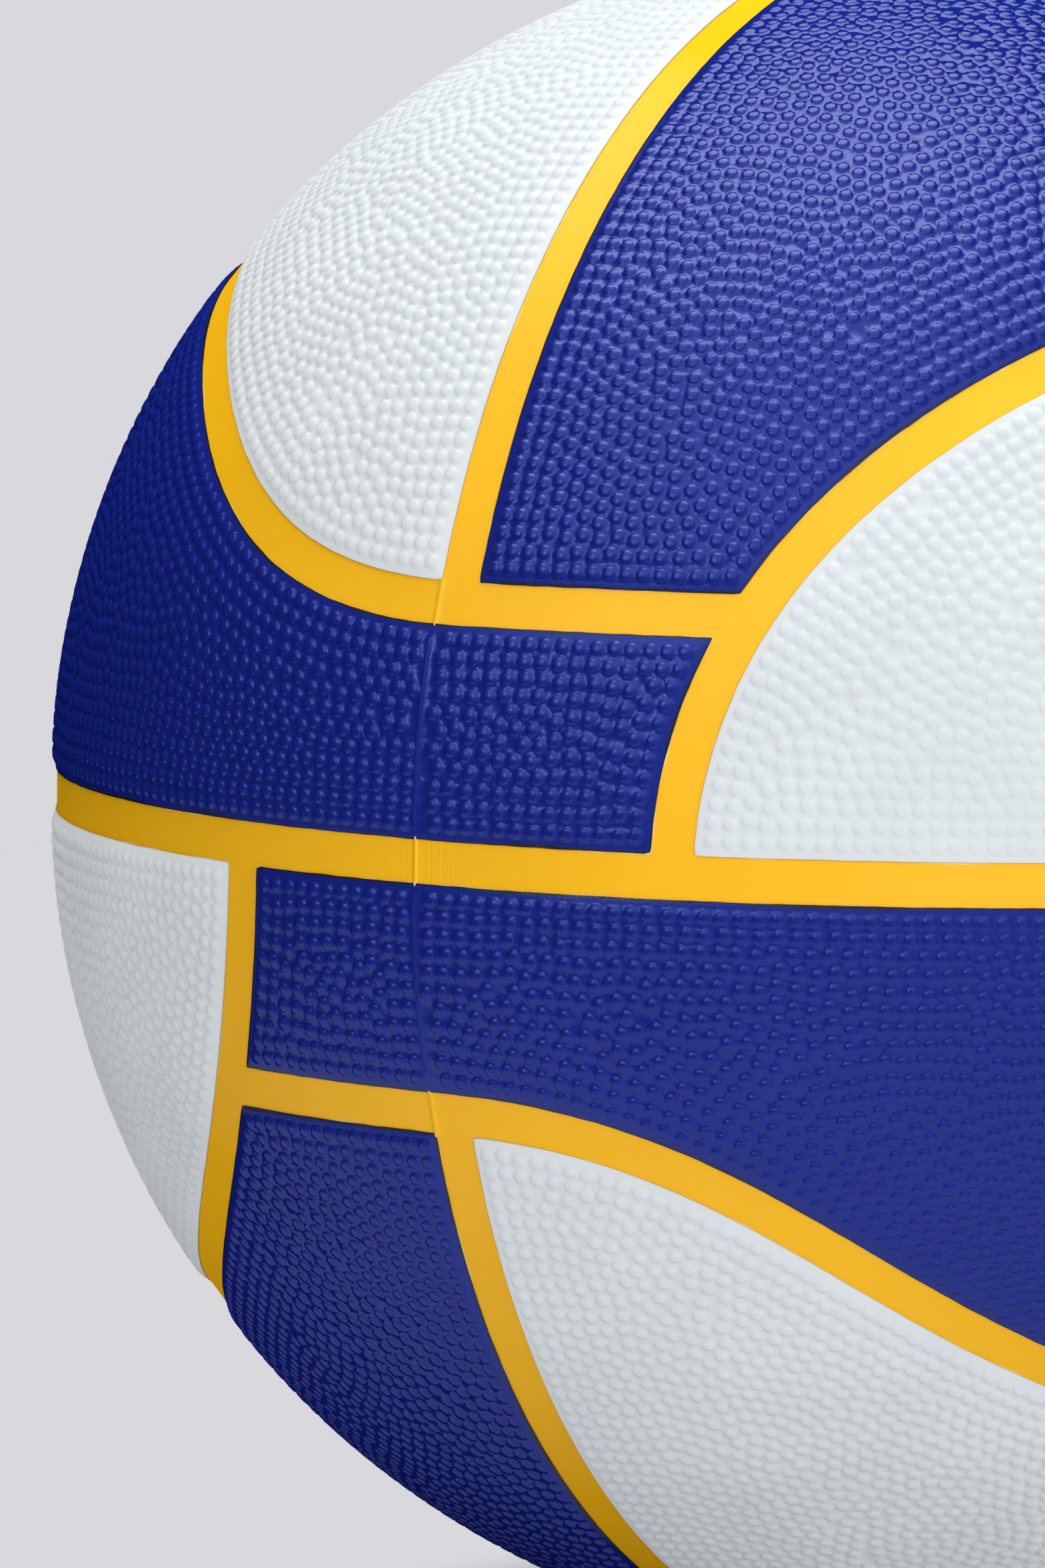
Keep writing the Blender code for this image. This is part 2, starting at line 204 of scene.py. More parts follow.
RECESS_FLOOR = PLUG_SHOULDER - 0.3 * MM
PLUG_TIP = PLUG_SHOULDER - 15.0 * MM
BOOT_INSIDE = PLUG_TIP - 0.3 * MM
BOOT_BOTTOM = BOOT_INSIDE - 1.0 * MM
VALVE_ROUNDING = 0.08 * MM

# The photograph's view: where the ball's middle and edge fall in its frame, and how it is turned
IMAGE_SIZE = (1568, 2353)
BALL_PIXEL = (1356.3, 1190.2)
BALL_PIXEL_RADIUS = 1282.6
VIEW_AZIMUTH = 30.66
VIEW_ELEVATION = 5.62
VIEW_ROLL = 0.95
VIEW_DISTANCE = 10.5
SENSOR_WIDTH = 36.0

# Studio: the floor keeps the ball's shadow out to a distance, then runs into the backdrop, which
# reaches round the view from behind the ball by the cosines given
FLOOR_RADIUS = 0.35
FLOOR_SIDES = 96
FLOOR_GAP = 0.4 * MM
FLOOR_MIRRORED = 0.65
SHADOW_REACH = (0.04, 0.085)
ROOM_COLOUR = "FFFFFF"
ROOM_STRENGTH = 0.03
BACKDROP_EDGE = (0.72, 0.9)

# Round lamps: place in ball radii along the camera's right, up and back, diameter in metres, power
# in watts, and whether the rubber mirrors them
LAMPS = {
    "overhead_softbox": ((-0.8, 8.7, -1.2), 1.0, 11.8, True),
    "overhead_sail": ((-1.5, 6.5, 6.1), 1.6, 6.75, True),
    "left_kicker": ((-6.0, 3.2, 7.5), 0.35, 1.5, True),
    "front_fill": ((2.0, -1.6, 10.0), 1.0, 5.9, False),
    "right_fill": ((6.5, 2.0, 7.0), 1.0, 4.4, False),
}

# Gloss of the rubber, as a share of the shader's scale, and where it fades as the skin turns away
WHITE_GLOSS = 0.28
BLUE_GLOSS = 0.95
CHANNEL_GLOSS = 0.3
GLOSS_FADE = (0.3, 0.58)
RUBBER_IOR = 1.5

# Radians that the wave texture turns its bands by over one unit of its scale
WAVE_RATE = 20.0


def linear(hex_colour):
    """Turns an sRGB hex colour to the linear colour that the shaders take."""
    channels = [int(hex_colour[i:i + 2], 16) / 255.0 for i in (0, 2, 4)]
    return [c / 12.92 if c <= 0.04045 else ((c + 0.055) / 1.055) ** 2.4 for c in channels] + [1.0]


class BasketballSizes(bpy.types.PropertyGroup):
    channel_width: bpy.props.FloatProperty(
        name="Channel width",
        description="Width of the yellow channels between the panels",
        default=5.8 * MM, min=2.0 * MM, max=10.0 * MM, subtype="DISTANCE")
    channel_depth: bpy.props.FloatProperty(
        name="Channel depth",
        description="Depth of a channel's floor below the ball's radius",
        default=0.84 * MM, min=0.8 * MM, max=0.95 * MM, subtype="DISTANCE")
    pebble_pitch: bpy.props.FloatProperty(
        name="Pebble pitch",
        description="Distance between the middles of neighbouring pebbles",
        default=2.42 * MM, min=2.3 * MM, max=6.0 * MM, subtype="DISTANCE")
    pebble_width: bpy.props.FloatProperty(
        name="Pebble width",
        description="Diameter of a pebble at its foot",
        default=2.06 * MM, min=1.0 * MM, max=4.0 * MM, subtype="DISTANCE")
    pebble_height: bpy.props.FloatProperty(
        name="Pebble height",
        description="Height of a pebble over the ground of its panel",
        default=0.34 * MM, min=0.05 * MM, max=1.0 * MM, subtype="DISTANCE")
    first_row: bpy.props.FloatProperty(
        name="First row",
        description="Distance from a panel's edge to the middle of its first row of pebbles",
        default=2.0 * MM, min=1.96 * MM, max=5.0 * MM, subtype="DISTANCE")
    valve_clearing: bpy.props.FloatProperty(
        name="Valve clearing",
        description="Radius of the bare circle round the valve",
        default=8.0 * MM, min=6.5 * MM, max=15.0 * MM, subtype="DISTANCE")


class BasketballColours(bpy.types.PropertyGroup):
    white: bpy.props.FloatVectorProperty(
        name="White", description="White rubber of the panels",
        default=linear("DFE4E6"), subtype="COLOR", size=4, min=0.0, max=1.0)
    blue: bpy.props.FloatVectorProperty(
        name="Blue", description="Blue rubber of the panels",
        default=linear("13227E"), subtype="COLOR", size=4, min=0.0, max=1.0)
    yellow: bpy.props.FloatVectorProperty(
        name="Yellow", description="Yellow rubber of the channel strips",
        default=linear("FFBD1A"), subtype="COLOR", size=4, min=0.0, max=1.0)
    valve: bpy.props.FloatVectorProperty(
        name="Valve", description="Black rubber of the valve",
        default=linear("26262A"), subtype="COLOR", size=4, min=0.0, max=1.0)
    background: bpy.props.FloatVectorProperty(
        name="Background", description="Pale grey of the floor and the backdrop",
        default=linear("D9D8DD"), subtype="COLOR", size=4, min=0.0, max=1.0)


# Places and paths on the ball

def unit(points):
    return points / np.linalg.norm(points, axis=-1, keepdims=True)


def place(lon, lat):
    lon, lat = np.radians(lon), np.radians(lat)
    return np.stack([np.cos(lat) * np.sin(lon), -np.cos(lat) * np.cos(lon), np.sin(lat)], axis=-1)


def lengths_along(points):
    steps = np.linalg.norm(np.diff(points, axis=0), axis=1)
    return BALL_RADIUS * np.concatenate([[0.0], np.cumsum(steps)])


def read_at(points, wanted):
    """The places on a path at the wanted lengths along it."""
    along = lengths_along(points)
    return unit(np.stack([np.interp(wanted, along, points[:, k]) for k in range(3)], axis=1))


def even_steps(points, step):
    total = lengths_along(points)[-1]
    return read_at(points, np.linspace(0.0, total, max(round(total / step), 2) + 1))


def lon_lat_curve(start, start_handle, end_handle, end):
    corners = [Vector(corner) for corner in (start, start_handle, end_handle, end)]
    return np.array([point[:2] for point in interpolate_bezier(*corners, CURVE_POINTS)])


def loop_rise():
    """Longitudes and latitudes from the equator up to the top of a loop at the side of the ball."""
    return lon_lat_curve(
        (CROSSING_LON, 0.0), (CROSSING_LON, RISE_HANDLE),
        (LOOP_TOP_LON - TOP_HANDLE_RISE, LOOP_TOP_LAT), (LOOP_TOP_LON, LOOP_TOP_LAT))


def loop_fall():
    """From the top of a loop down to the crossbar on the other face, and along it to its end."""
    fall = lon_lat_curve(
        (LOOP_TOP_LON, LOOP_TOP_LAT), (LOOP_TOP_LON + TOP_HANDLE_FALL, LOOP_TOP_LAT),
        (HALF_TURN - CROSSBAR_HANDLE, CROSSBAR_LAT), (HALF_TURN, CROSSBAR_LAT))
    bar = np.linspace(HALF_TURN, HALF_TURN + crossbar_end(), CURVE_POINTS)[1:]
    return np.concatenate([fall, np.stack([bar, np.full_like(bar, CROSSBAR_LAT)], axis=1)])


def crossbar_end():
    """Longitude at which a rise passes the crossbar's latitude."""
    lon, lat = loop_rise().T
    return float(np.interp(CROSSBAR_LAT, lat, lon))


def path_from(lon_lats):
    return even_steps(place(*lon_lats.T), PATH_STEP)


def loop_path():
    return path_from(np.concatenate([loop_rise(), loop_fall()[1:]]))


def meridian_path():
    """Over the pole, from the front crossbar to the back one."""
    lat = np.linspace(CROSSBAR_LAT, HALF_TURN - CROSSBAR_LAT, CURVE_POINTS)
    return path_from(np.stack([np.zeros_like(lat), lat], axis=1))


def equator_path(start, end):
    lon = np.linspace(start, end, CURVE_POINTS)
    return path_from(np.stack([lon, np.zeros_like(lon)], axis=1))


def left_of(path, closed=False):
    """Unit vectors along the ball, to the left of the way that a path runs, seen from outside."""
    if closed:
        tangent = np.roll(path, -1, axis=0) - np.roll(path, 1, axis=0)
    else:
        tangent = np.gradient(path, axis=0)
    return unit(np.cross(path, tangent))


def shifted(path, distance, closed=False):
    angle = np.asarray(distance / BALL_RADIUS)[..., None]
    return path * np.cos(angle) + left_of(path, closed) * np.sin(angle)


def tree_of(points):
    tree = kdtree.KDTree(len(points))
    for index, point in enumerate(points.tolist()):
        tree.insert(point, index)
    tree.balance()
    return tree


def distance_to(points, tree):
    """Shortest way along the ball from each place to those in the tree."""
    chords = np.array([tree.find(point)[2] for point in points.tolist()])
    return 2.0 * BALL_RADIUS * np.arcsin(chords / 2.0)


def wander(points, length):
    """Smooth random values from about -1 to 1, which change over the given length."""
    scale = BALL_RADIUS / length
    return np.array([noise.noise(Vector(point) * scale) for point in points.tolist()])


# A panel's outline

def side_panel_sides():
    """Channel paths round the upper right side panel, which lies to the left of each."""
    rise = place(*loop_rise().T)
    bar_height = math.sin(math.radians(CROSSBAR_LAT))
    partner_rise = rise[rise[:, 2] <= bar_height] * HALF_TURNS["upper_left"]
    return [
        equator_path(CROSSING_LON, HALF_TURN + CROSSING_LON),
        even_steps(partner_rise, PATH_STEP),
        loop_path()[::-1],
    ]


def polar_panel_sides():
    """Channel paths round the top right polar panel, which lies to the left of each."""
    loop = np.concatenate([loop_rise(), loop_fall()[1:]])
    end = crossbar_end()
    bar = np.linspace(0.0, end, CURVE_POINTS)
    over = loop[(loop[:, 0] >= end) & (loop[:, 0] <= HALF_TURN)]
    return [
        path_from(np.stack([bar, np.full_like(bar, CROSSBAR_LAT)], axis=1)),
        path_from(over),
        meridian_path()[::-1],
    ]


def outline(sides, offset, sizes, step):
    """Closed line inside a panel at a distance from its channels' edges, with soft corners."""
    reach = sizes.channel_width / 2.0 + offset
    trees = [tree_of(path) for path in sides]
    runs = []
    for index, path in enumerate(sides):
        line = shifted(path, reach)
        for other, tree in enumerate(trees):
            if other != index:
                line = line[distance_to(line, tree) >= reach]
        runs.append(line)
    runs = [even_steps(line, PATH_STEP) for line in runs]
    ring = np.concatenate(runs)
    for _ in range(CORNER_PASSES):
        ring = unit(np.roll(ring, 1, axis=0) + 2.0 * ring + np.roll(ring, -1, axis=0))
    ring = np.concatenate([ring, ring[:1]])
    corners = np.cumsum([0] + [len(line) for line in runs])
    return np.concatenate([even_steps(ring[a:b + 1], step)[:-1] for a, b in zip(corners, corners[1:])])


# Pebbles

class Ground:
    """The ground of a panel: how deep a place lies inside it, and which places stay bare."""

    def __init__(self, sides, sizes, parting=None, has_valve=False):
        self.sides = sides
        self.sizes = sizes
        self.parting = parting
        self.has_valve = has_valve
        self.room = sizes.pebble_width / 2.0 * (1.0 + 2.0 * PEBBLE_VARIATION)
        self.tree = tree_of(np.concatenate(sides))

    def depth(self, points):
        return distance_to(points, self.tree) - self.sizes.channel_width / 2.0

    def is_bare(self, point):
        """True where a pebble would touch the panel's edge, its parting line or its valve."""
        reach = self.sizes.channel_width / 2.0 + self.sizes.first_row - FIRST_ROW_SLACK
        if self.tree.find(point)[2] * BALL_RADIUS < reach:
            return True
        if self.parting is not None and point[1] > 0.0:
            if abs(point[0] * BALL_RADIUS - self.parting) < PARTING_HALF_WIDTH + self.room:
                return True
        if self.has_valve:
            away = BALL_RADIUS * math.acos(min(1.0, Vector(point).dot(VALVE_AXIS)))
            return away < self.sizes.valve_clearing + self.room
        return False

    def moved(self, points, targets):
        """The places at their targets, apart from those that would then be bare."""
        bare = [self.is_bare(target) for target in targets.tolist()]
        return np.where(np.reshape(bare, (-1, 1)), points, targets)


def pack_pebbles(ground):
    """Fills a panel with pebbles: a row along its edge, then each next one behind another."""
    sizes = ground.sizes
    pitch = sizes.pebble_pitch / BALL_RADIUS
    least = 2.0 * ground.room / BALL_RADIUS
    cells = {}
    points = []
    waiting = []

    def cell_of(point):
        return tuple(math.floor(c / pitch) for c in point)

    def is_clear(point, distance):
        x, y, z = cell_of(point)
        for step in itertools.product((-1, 0, 1), repeat=3):
            for other in cells.get((x + step[0], y + step[1], z + step[2]), ()):
                if (other - point).length < distance:
                    return False
        return True

    def add(point):
        cells.setdefault(cell_of(point), []).append(point)
        points.append(point)
        edge, _, depth = ground.tree.find(point)
        inward = (point * point.dot(edge) - edge).normalized()
        behind = (point + inward * ROW_SHARE * pitch).normalized()
        reached = ground.tree.find(behind)[2]
        if reached - depth > ROW_GAIN * pitch and not ground.is_bare(behind):
            heapq.heappush(waiting, (reached, len(points), behind))

    first_row = outline(ground.sides, sizes.first_row, sizes, sizes.pebble_pitch)
    for point in map(Vector, first_row.tolist()):
        if is_clear(point, least) and not ground.is_bare(point):
            add(point)
    fixed = len(points)
    while waiting:
        behind = heapq.heappop(waiting)[2]
        if is_clear(behind, PACKING_CLEARANCE * pitch):
            add(behind)
    points = np.array([list(point) for point in points])
    loose = np.clip((ground.depth(points) - ROWS_DEPTH) / (LOOSE_DEPTH - ROWS_DEPTH), 0.0, 1.0)
    rng = np.random.default_rng(SEED)
    points = unit(points + rng.normal(size=points.shape) * (LOOSE_SHARE * pitch * loose)[:, None])
    for _ in range(FILL_ROUNDS):
        points = np.concatenate([points, gap_middles(points, first_row, ground)])
        points = thinned(relax(points, fixed, ground), fixed, least)
    return shaken(points, least, ground)


def shaken(points, least, ground):
    """The places moved a little at random, by less than half of the room that each one has."""
    tree = tree_of(points)
    nearest = np.array([tree.find_n(point, 2)[1][2] for point in points.tolist()])
    reach = np.clip((nearest - least) / 2.0, 0.0, PEBBLE_WANDER / BALL_RADIUS)
    rng = np.random.default_rng(SEED)
    return ground.moved(points, unit(points + unit(rng.normal(size=points.shape)) * reach[:, None]))


def neighbour_triangles(points):
    flat = Flat(np.mean(points, axis=0)).onto(points)
    corners = [Vector(corner) for corner in flat.tolist()]
    return np.array(delaunay_2d_cdt(corners, [], [], 0, TRIANGLE_TOLERANCE, False)[2])


def gap_middles(points, first_row, ground):
    """The middles of the empty places between the pebbles that have room for one more."""
    clearance = GAP_CLEARANCE * ground.sizes.pebble_pitch / BALL_RADIUS
    a, b, c = np.moveaxis(points[neighbour_triangles(points)], 1, 0)
    middles = unit(np.cross(b - a, c - a))
    middles *= np.sign(np.sum(middles * a, axis=1, keepdims=True))
    empty = np.linalg.norm(middles - a, axis=1)
    flat = Flat(np.mean(points, axis=0))
    empty[~inside(flat.onto(middles), flat.onto(first_row))] = 0.0
    found = []
    for index in np.argsort(-empty)[:np.count_nonzero(empty > clearance)]:
        middle = middles[index]
        clear = all(np.linalg.norm(middle - other) > clearance for other in found)
        if clear and not ground.is_bare(middle.tolist()):
            found.append(middle)
    return np.array(found).reshape(-1, 3)


def relax(points, fixed, ground):
    """Spreads the pebbles evenly, with those of the first row held where they are."""
    wanted = RELAX_REACH * ground.sizes.pebble_pitch / BALL_RADIUS
    for turn in range(RELAX_ROUNDS):
        if turn % RELAX_REFRESH == 0:
            faces = neighbour_triangles(points)
            pairs = np.concatenate([faces[:, [0, 1]], faces[:, [1, 2]], faces[:, [2, 0]]])
            one, other = np.unique(np.sort(pairs, axis=1), axis=0).T
        apart = points[one] - points[other]
        gap = np.linalg.norm(apart, axis=1, keepdims=True)
        push = np.clip(wanted / gap - 1.0, 0.0, None) * apart
        total = np.zeros_like(points)
        np.add.at(total, one, push)
        np.add.at(total, other, -push)
        total[:fixed] = 0.0
        points = ground.moved(points, unit(points + RELAX_SHARE * total))
    return points


def thinned(points, fixed, least):
    """The places without those that ended nearer to another one than the least distance."""
    tree = tree_of(points)
    dropped = set()
    for index in range(len(points) - 1, fixed - 1, -1):
        near = tree.find_range(points[index].tolist(), least)
        if any(other != index and other not in dropped for _, other, _ in near):
            dropped.add(index)
    return points[[index for index in range(len(points)) if index not in dropped]]


# A panel's mesh

class Flat:
    """Stereographic map of the ball from a place on it, in which triangles keep their shape."""

    def __init__(self, centre):
        self.centre = unit(centre)
        east = unit(np.cross((0.0, 0.0, 1.0), self.centre))
        self.east, self.north = east, np.cross(self.centre, east)

    def onto(self, points):
        scale = 2.0 / (1.0 + points @ self.centre)
        return np.stack([scale * (points @ self.east), scale * (points @ self.north)], axis=1)

    def back(self, flat):
        square = np.sum(flat * flat, axis=1, keepdims=True) / 4.0
        return unit(self.centre * (1.0 - square) + flat[:, :1] * self.east + flat[:, 1:] * self.north)


def triangles_between(flat, loops, lines, owners):
    """Triangles inside the first loop, apart from those within the ring of one owner."""
    edges = [(a, b) for loop in loops for a, b in zip(loop, np.roll(loop, -1))]
    edges += [(a, b) for line in lines for a, b in zip(line, line[1:])]
    edges = [(int(a), int(b)) for a, b in edges]
    corners = [Vector(point) for point in flat.tolist()]
    made = delaunay_2d_cdt(corners, edges, [loops[0].tolist()], 1, TRIANGLE_TOLERANCE, True)
    if len(made[0]) != len(corners):
        raise RuntimeError("the lines of a panel cross or touch")
    source = np.array([ids[0] for ids in made[3]])
    faces = source[np.array(made[2])]
    on_ring = owners[faces]
    faces = faces[(on_ring[:, 0] < 0) | np.any(on_ring != on_ring[:, :1], axis=1)]
    on_rim = np.all(np.isin(faces, loops[0]), axis=1)
    within = np.ones(len(faces), bool)
    within[on_rim] = inside(flat[faces[on_rim]].mean(axis=1), flat[loops[0]])
    return faces[within]


def ground_radius(depth):
    """Radius of a panel's ground by its distance from the edge: a pillow and a rounded shoulder."""
    pillow = PILLOW_DROP * np.exp(-depth / PILLOW_REACH)
    shoulder = SHOULDER_DROP * np.clip(1.0 - depth / SHOULDER_WIDTH, 0.0, 1.0) ** 2
    return BALL_RADIUS + CROWN - pillow - shoulder


def circle_round(axis, radii, sides, phases=0.0):
    """Rings of places at a distance along the ball from each axis."""
    axis = np.atleast_2d(axis)
    helper = np.where(np.abs(axis[:, 2:]) < 0.9, [[0.0, 0.0, 1.0]], [[1.0, 0.0, 0.0]])
    east = unit(np.cross(helper, axis))
    north = np.cross(axis, east)
    turn = np.arange(sides) * 2.0 * np.pi / sides + np.reshape(phases, (-1, 1))
    angle = np.reshape(radii, (-1, 1, 1)) / BALL_RADIUS
    around = np.cos(turn)[..., None] * east[:, None] + np.sin(turn)[..., None] * north[:, None]
    return np.cos(angle) * axis[:, None] + np.sin(angle) * around


class Cover:
    """Gathers the points and faces of one panel."""

    def __init__(self):
        self.places = []
        self.radii = []
        self.edge = []
        self.faces = []
        self.count = 0

    def add(self, places, radii, edge):
        """Adds points, with their distance from the panel's edge, and gives their numbers."""
        self.places.append(places)
        self.radii.append(np.broadcast_to(radii, len(places)))
        self.edge.append(np.broadcast_to(edge, len(places)))
        self.count += len(places)
        return np.arange(self.count - len(places), self.count)

    def all_places(self):
        return np.concatenate(self.places)

    def wall(self, upper, lower):
        """Faces between two closed rows of points, which look to the right of the way they run."""
        following, under = np.roll(upper, -1), np.roll(lower, -1)
        self.faces += np.stack([upper, lower, under, following], axis=1).tolist()

    def mesh(self, name):
        mesh = bpy.data.meshes.new(name)
        places = self.all_places() * np.concatenate(self.radii)[:, None]
        mesh.from_pydata(places.tolist(), [], self.faces)
        attribute = mesh.attributes.new("edge_mm", "FLOAT", "POINT")
        attribute.data.foreach_set("value", np.concatenate(self.edge) / MM)
        mesh.shade_smooth()
        mesh.set_sharp_from_angle(angle=math.radians(FOOT_ANGLE))
        return mesh


def parting_row(ground, share):
    """Places along the parting line where it crosses the panel's ground, a share across it."""
    x = (ground.parting + share * PARTING_HALF_WIDTH) / BALL_RADIUS
    z = np.sin(np.radians(np.linspace(0.0, CROSSBAR_LAT, CURVE_POINTS)))
    line = np.stack([np.full_like(z, x), np.sqrt(1.0 - x * x - z * z), z], axis=1)
    line = even_steps(line, PATH_STEP)
    return even_steps(line[ground.depth(line) > PARTING_START], PARTING_STEP)


def panel_mesh(name, ground):
    """One pebbled panel: its ground, its pebbles, its edge, and the smooth face under it."""
    sizes = ground.sizes
    rng = np.random.default_rng(SEED)
    cover = Cover()
    pebbles = pack_pebbles(ground)
    flat = Flat(np.mean(pebbles, axis=0))

    # Rows along the edge, the outer one a little ragged
    edge = outline(ground.sides, 0.0, sizes, EDGE_STEP)
    ragged = shifted(edge, EDGE_WANDER * wander(edge, EDGE_WANDER_LENGTH), closed=True)
    loops = [cover.add(ragged, ground_radius(0.0), 0.0)]
    for offset in EDGE_ROWS:
        row = outline(ground.sides, offset, sizes, EDGE_STEP)
        loops.append(cover.add(row, ground_radius(offset), offset))

    # Parting line, which fades out toward the edge
    lines = []
    if ground.parting is not None:
        for share, height in PARTING_SECTION:
            line = parting_row(ground, share)
            depth = ground.depth(line)
            fade = np.clip((depth - PARTING_FADE_START) / PARTING_FADE_LENGTH, 0.0, 1.0)
            lines.append(cover.add(line, ground_radius(depth) + fade * height * PARTING_HEIGHT, depth))

    # Bare circle round the valve, with a soft lip at its hole
    hole = None
    if ground.has_valve:
        for radius, drop in VALVE_LIP:
            ring = circle_round(np.array(VALVE_AXIS), radius, VALVE_SIDES)[0]
            numbers = cover.add(ring, BALL_RADIUS - drop, sizes.first_row)
            loops.append(numbers)
            hole = numbers if hole is None else hole

    # Feet of the pebbles
    count = len(pebbles)
    ground_points = cover.count
    phases = rng.uniform(0.0, 2.0 * np.pi, count)
    widths = sizes.pebble_width / 2.0 * (1.0 + PEBBLE_VARIATION * rng.uniform(-1.0, 1.0, count))
    depths = ground.depth(pebbles)
    in_first_row = depths < sizes.first_row + FIRST_ROW_BAND * sizes.pebble_pitch
    relief = np.where(in_first_row, FIRST_ROW_RELIEF, 1.0)
    heights = sizes.pebble_height * relief * (1.0 + PEBBLE_VARIATION * rng.uniform(-1.0, 1.0, count))
    rings = []
    for width_share, height_share in PEBBLE_RINGS:
        ring = circle_round(pebbles, widths * width_share, PEBBLE_SIDES, phases).reshape(-1, 3)
        depth = ground.depth(ring)
        radius = ground_radius(depth) + np.repeat(heights * height_share, PEBBLE_SIDES)
        rings.append(cover.add(ring, radius, depth).reshape(count, PEBBLE_SIDES))
    tops = cover.add(pebbles, ground_radius(depths) + heights, depths)

    # Ground between the pebbles
    used = ground_points + count * PEBBLE_SIDES
    owners = np.full(used, -1)
    owners[ground_points:] = np.repeat(np.arange(count), PEBBLE_SIDES)
    if hole is not None:
        owners[hole] = count
    places = flat.onto(cover.all_places()[:used])
    cover.faces += triangles_between(places, loops + list(rings[0]), lines, owners).tolist()

    # Sides and tops of the pebbles
    for outer, inner in zip(rings, rings[1:]):
        quads = [outer, np.roll(outer, -1, axis=1), np.roll(inner, -1, axis=1), inner]
        cover.faces += np.stack(quads, axis=2).reshape(-1, 4).tolist()
    last = rings[-1]
    caps = [last, np.roll(last, -1, axis=1), np.broadcast_to(tops[:, None], last.shape)]
    cover.faces += np.stack(caps, axis=2).reshape(-1, 3).tolist()

    close_panel(cover, flat, ragged, loops[0], hole)
    return cover.mesh(name)


def close_panel(cover, flat, edge, top, hole):
    """Turns a panel's edge down over its lip and closes it with a plain inner face."""
    tucked = shifted(edge, LIP_OVERHANG, closed=True)
    rows = [(edge, LIP_UNDERSIDE), (tucked, LIP_UNDERSIDE), (tucked, COVER_INNER)]
    upper = top
    for places, radius in rows:
        lower = cover.add(places, radius, 0.0)
        cover.wall(upper, lower)
        upper = lower
    loops = [upper]
    if hole is not None:
        bottom = cover.add(cover.all_places()[hole], COVER_INNER, 0.0)
        cover.wall(hole[::-1], bottom[::-1])
        loops.append(bottom)
    inner_flat = flat.onto(tucked)
    low, high = inner_flat.min(axis=0), inner_flat.max(axis=0)
    step = INNER_STEP / BALL_RADIUS
    grid = np.stack(np.meshgrid(*[np.arange(a, b, step) for a, b in zip(low, high)]), axis=-1)
    grid = flat.back(grid.reshape(-1, 2))
    grid = grid[inside(flat.onto(grid), inner_flat)]
    blocked = tree_of(cover.all_places()[np.concatenate(loops)])
    grid = grid[distance_to(grid, blocked) > INNER_STEP / 2.0]
    if hole is not None:
        grid = grid[grid @ np.array(VALVE_AXIS) < math.cos(HOLE_MARGIN / BALL_RADIUS)]
    middle = cover.add(grid, COVER_INNER, 0.0)
    numbers = np.concatenate(loops + [middle])
    owners = np.full(len(numbers), -1)
    if hole is not None:
        owners[len(upper):len(upper) + len(hole)] = 0
    places = flat.onto(cover.all_places()[numbers])
    rings = np.split(np.arange(sum(map(len, loops))), np.cumsum([len(loop) for loop in loops])[:-1])
    cover.faces += numbers[triangles_between(places, rings, [], owners)][:, ::-1].tolist()


def inside(points, loop):
    """True for each flat point that lies inside a closed flat line."""
    result = np.zeros(len(points), bool)
    for (ax, ay), (bx, by) in zip(loop, np.roll(loop, -1, axis=0)):
        spans = (ay > points[:, 1]) != (by > points[:, 1])
        if ay != by:
            crossing = ax + (points[:, 1] - ay) * (bx - ax) / (by - ay)
            result ^= spans & (points[:, 0] < crossing)
    return result


# Steps that the pieces share

def dress(piece, node, body="ball"):
    """Makes a piece ride on a body and stand for a CAD node, whose part it hides."""
    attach(piece, body)
    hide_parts(node)


def sister_piece(name, source, key, node, slot, material):
    """A new piece from a copy of a mesh, carried by a half turn to its place."""
    mesh = source.copy()
    mesh.name = name
    mesh.transform(Matrix.Diagonal(HALF_TURNS[key] + (1.0,)))
    mesh.materials.clear()
    mesh.materials.append(material)
    piece = bpy.data.objects.new(name, mesh)
    bpy.context.scene.collection.objects.link(piece)
    dress(piece, node)


def add_primitive(name, operator, **settings):
    """Adds a primitive, alone in the selection, to be shaped into a piece."""
    bpy.ops.object.select_all(action="DESELECT")
    operator(**settings)
    piece = bpy.context.object
    piece.name = piece.data.name = name
    return piece


def start_editing():
    bpy.ops.object.mode_set(mode="EDIT")
    bpy.ops.mesh.select_all(action="SELECT")


def apply_modifier(piece, kind, **settings):
    modifier = piece.modifiers.new(kind.lower(), kind)
    for name, value in settings.items():
        setattr(modifier, name, value)
    bpy.ops.object.modifier_apply(modifier=modifier.name)


def give_skin(piece, material):
    bpy.ops.object.shade_smooth_by_angle(angle=math.radians(SHARP_ANGLE))
    piece.data.materials.append(material)
    return piece


# Materials

def add_node(tree, kind, inputs=None, **settings):
    """Adds a shader node with its settings, and sets or links its inputs."""
    made = tree.nodes.new("ShaderNode" + kind)
    for name, value in settings.items():
        setattr(made, name, value)
    for socket, value in (inputs or {}).items():
        if isinstance(value, bpy.types.NodeSocket):
            tree.links.new(value, made.inputs[socket])
        else:
            made.inputs[socket].default_value = value
    return made


def per_metre(millimetres):
    """Scale of a pattern whose features are about this many millimetres wide."""
    return 1.0 / (millimetres * MM)


def new_material(name):
    material = bpy.data.materials.new(name)
    material.use_nodes = True
    tree = material.node_tree
    return material, tree, tree.nodes["Principled BSDF"]


def shade(colour, factor):
    return [min(c * factor, 1.0) for c in colour[:3]] + [1.0]


def fade_gloss(tree, shader, level):
    """Gloss that dies away where the skin is seen at a low angle, as on fine-grained rubber."""
    facing = add_node(tree, "LayerWeight", {"Blend": 0.5}).outputs["Facing"]
    low, high = GLOSS_FADE
    fade = add_node(tree, "MapRange", {
        "Value": facing, "From Min": low, "From Max": high, "To Min": level, "To Max": 0.0})
    tree.links.new(fade.outputs["Result"], shader.inputs["Specular IOR Level"])


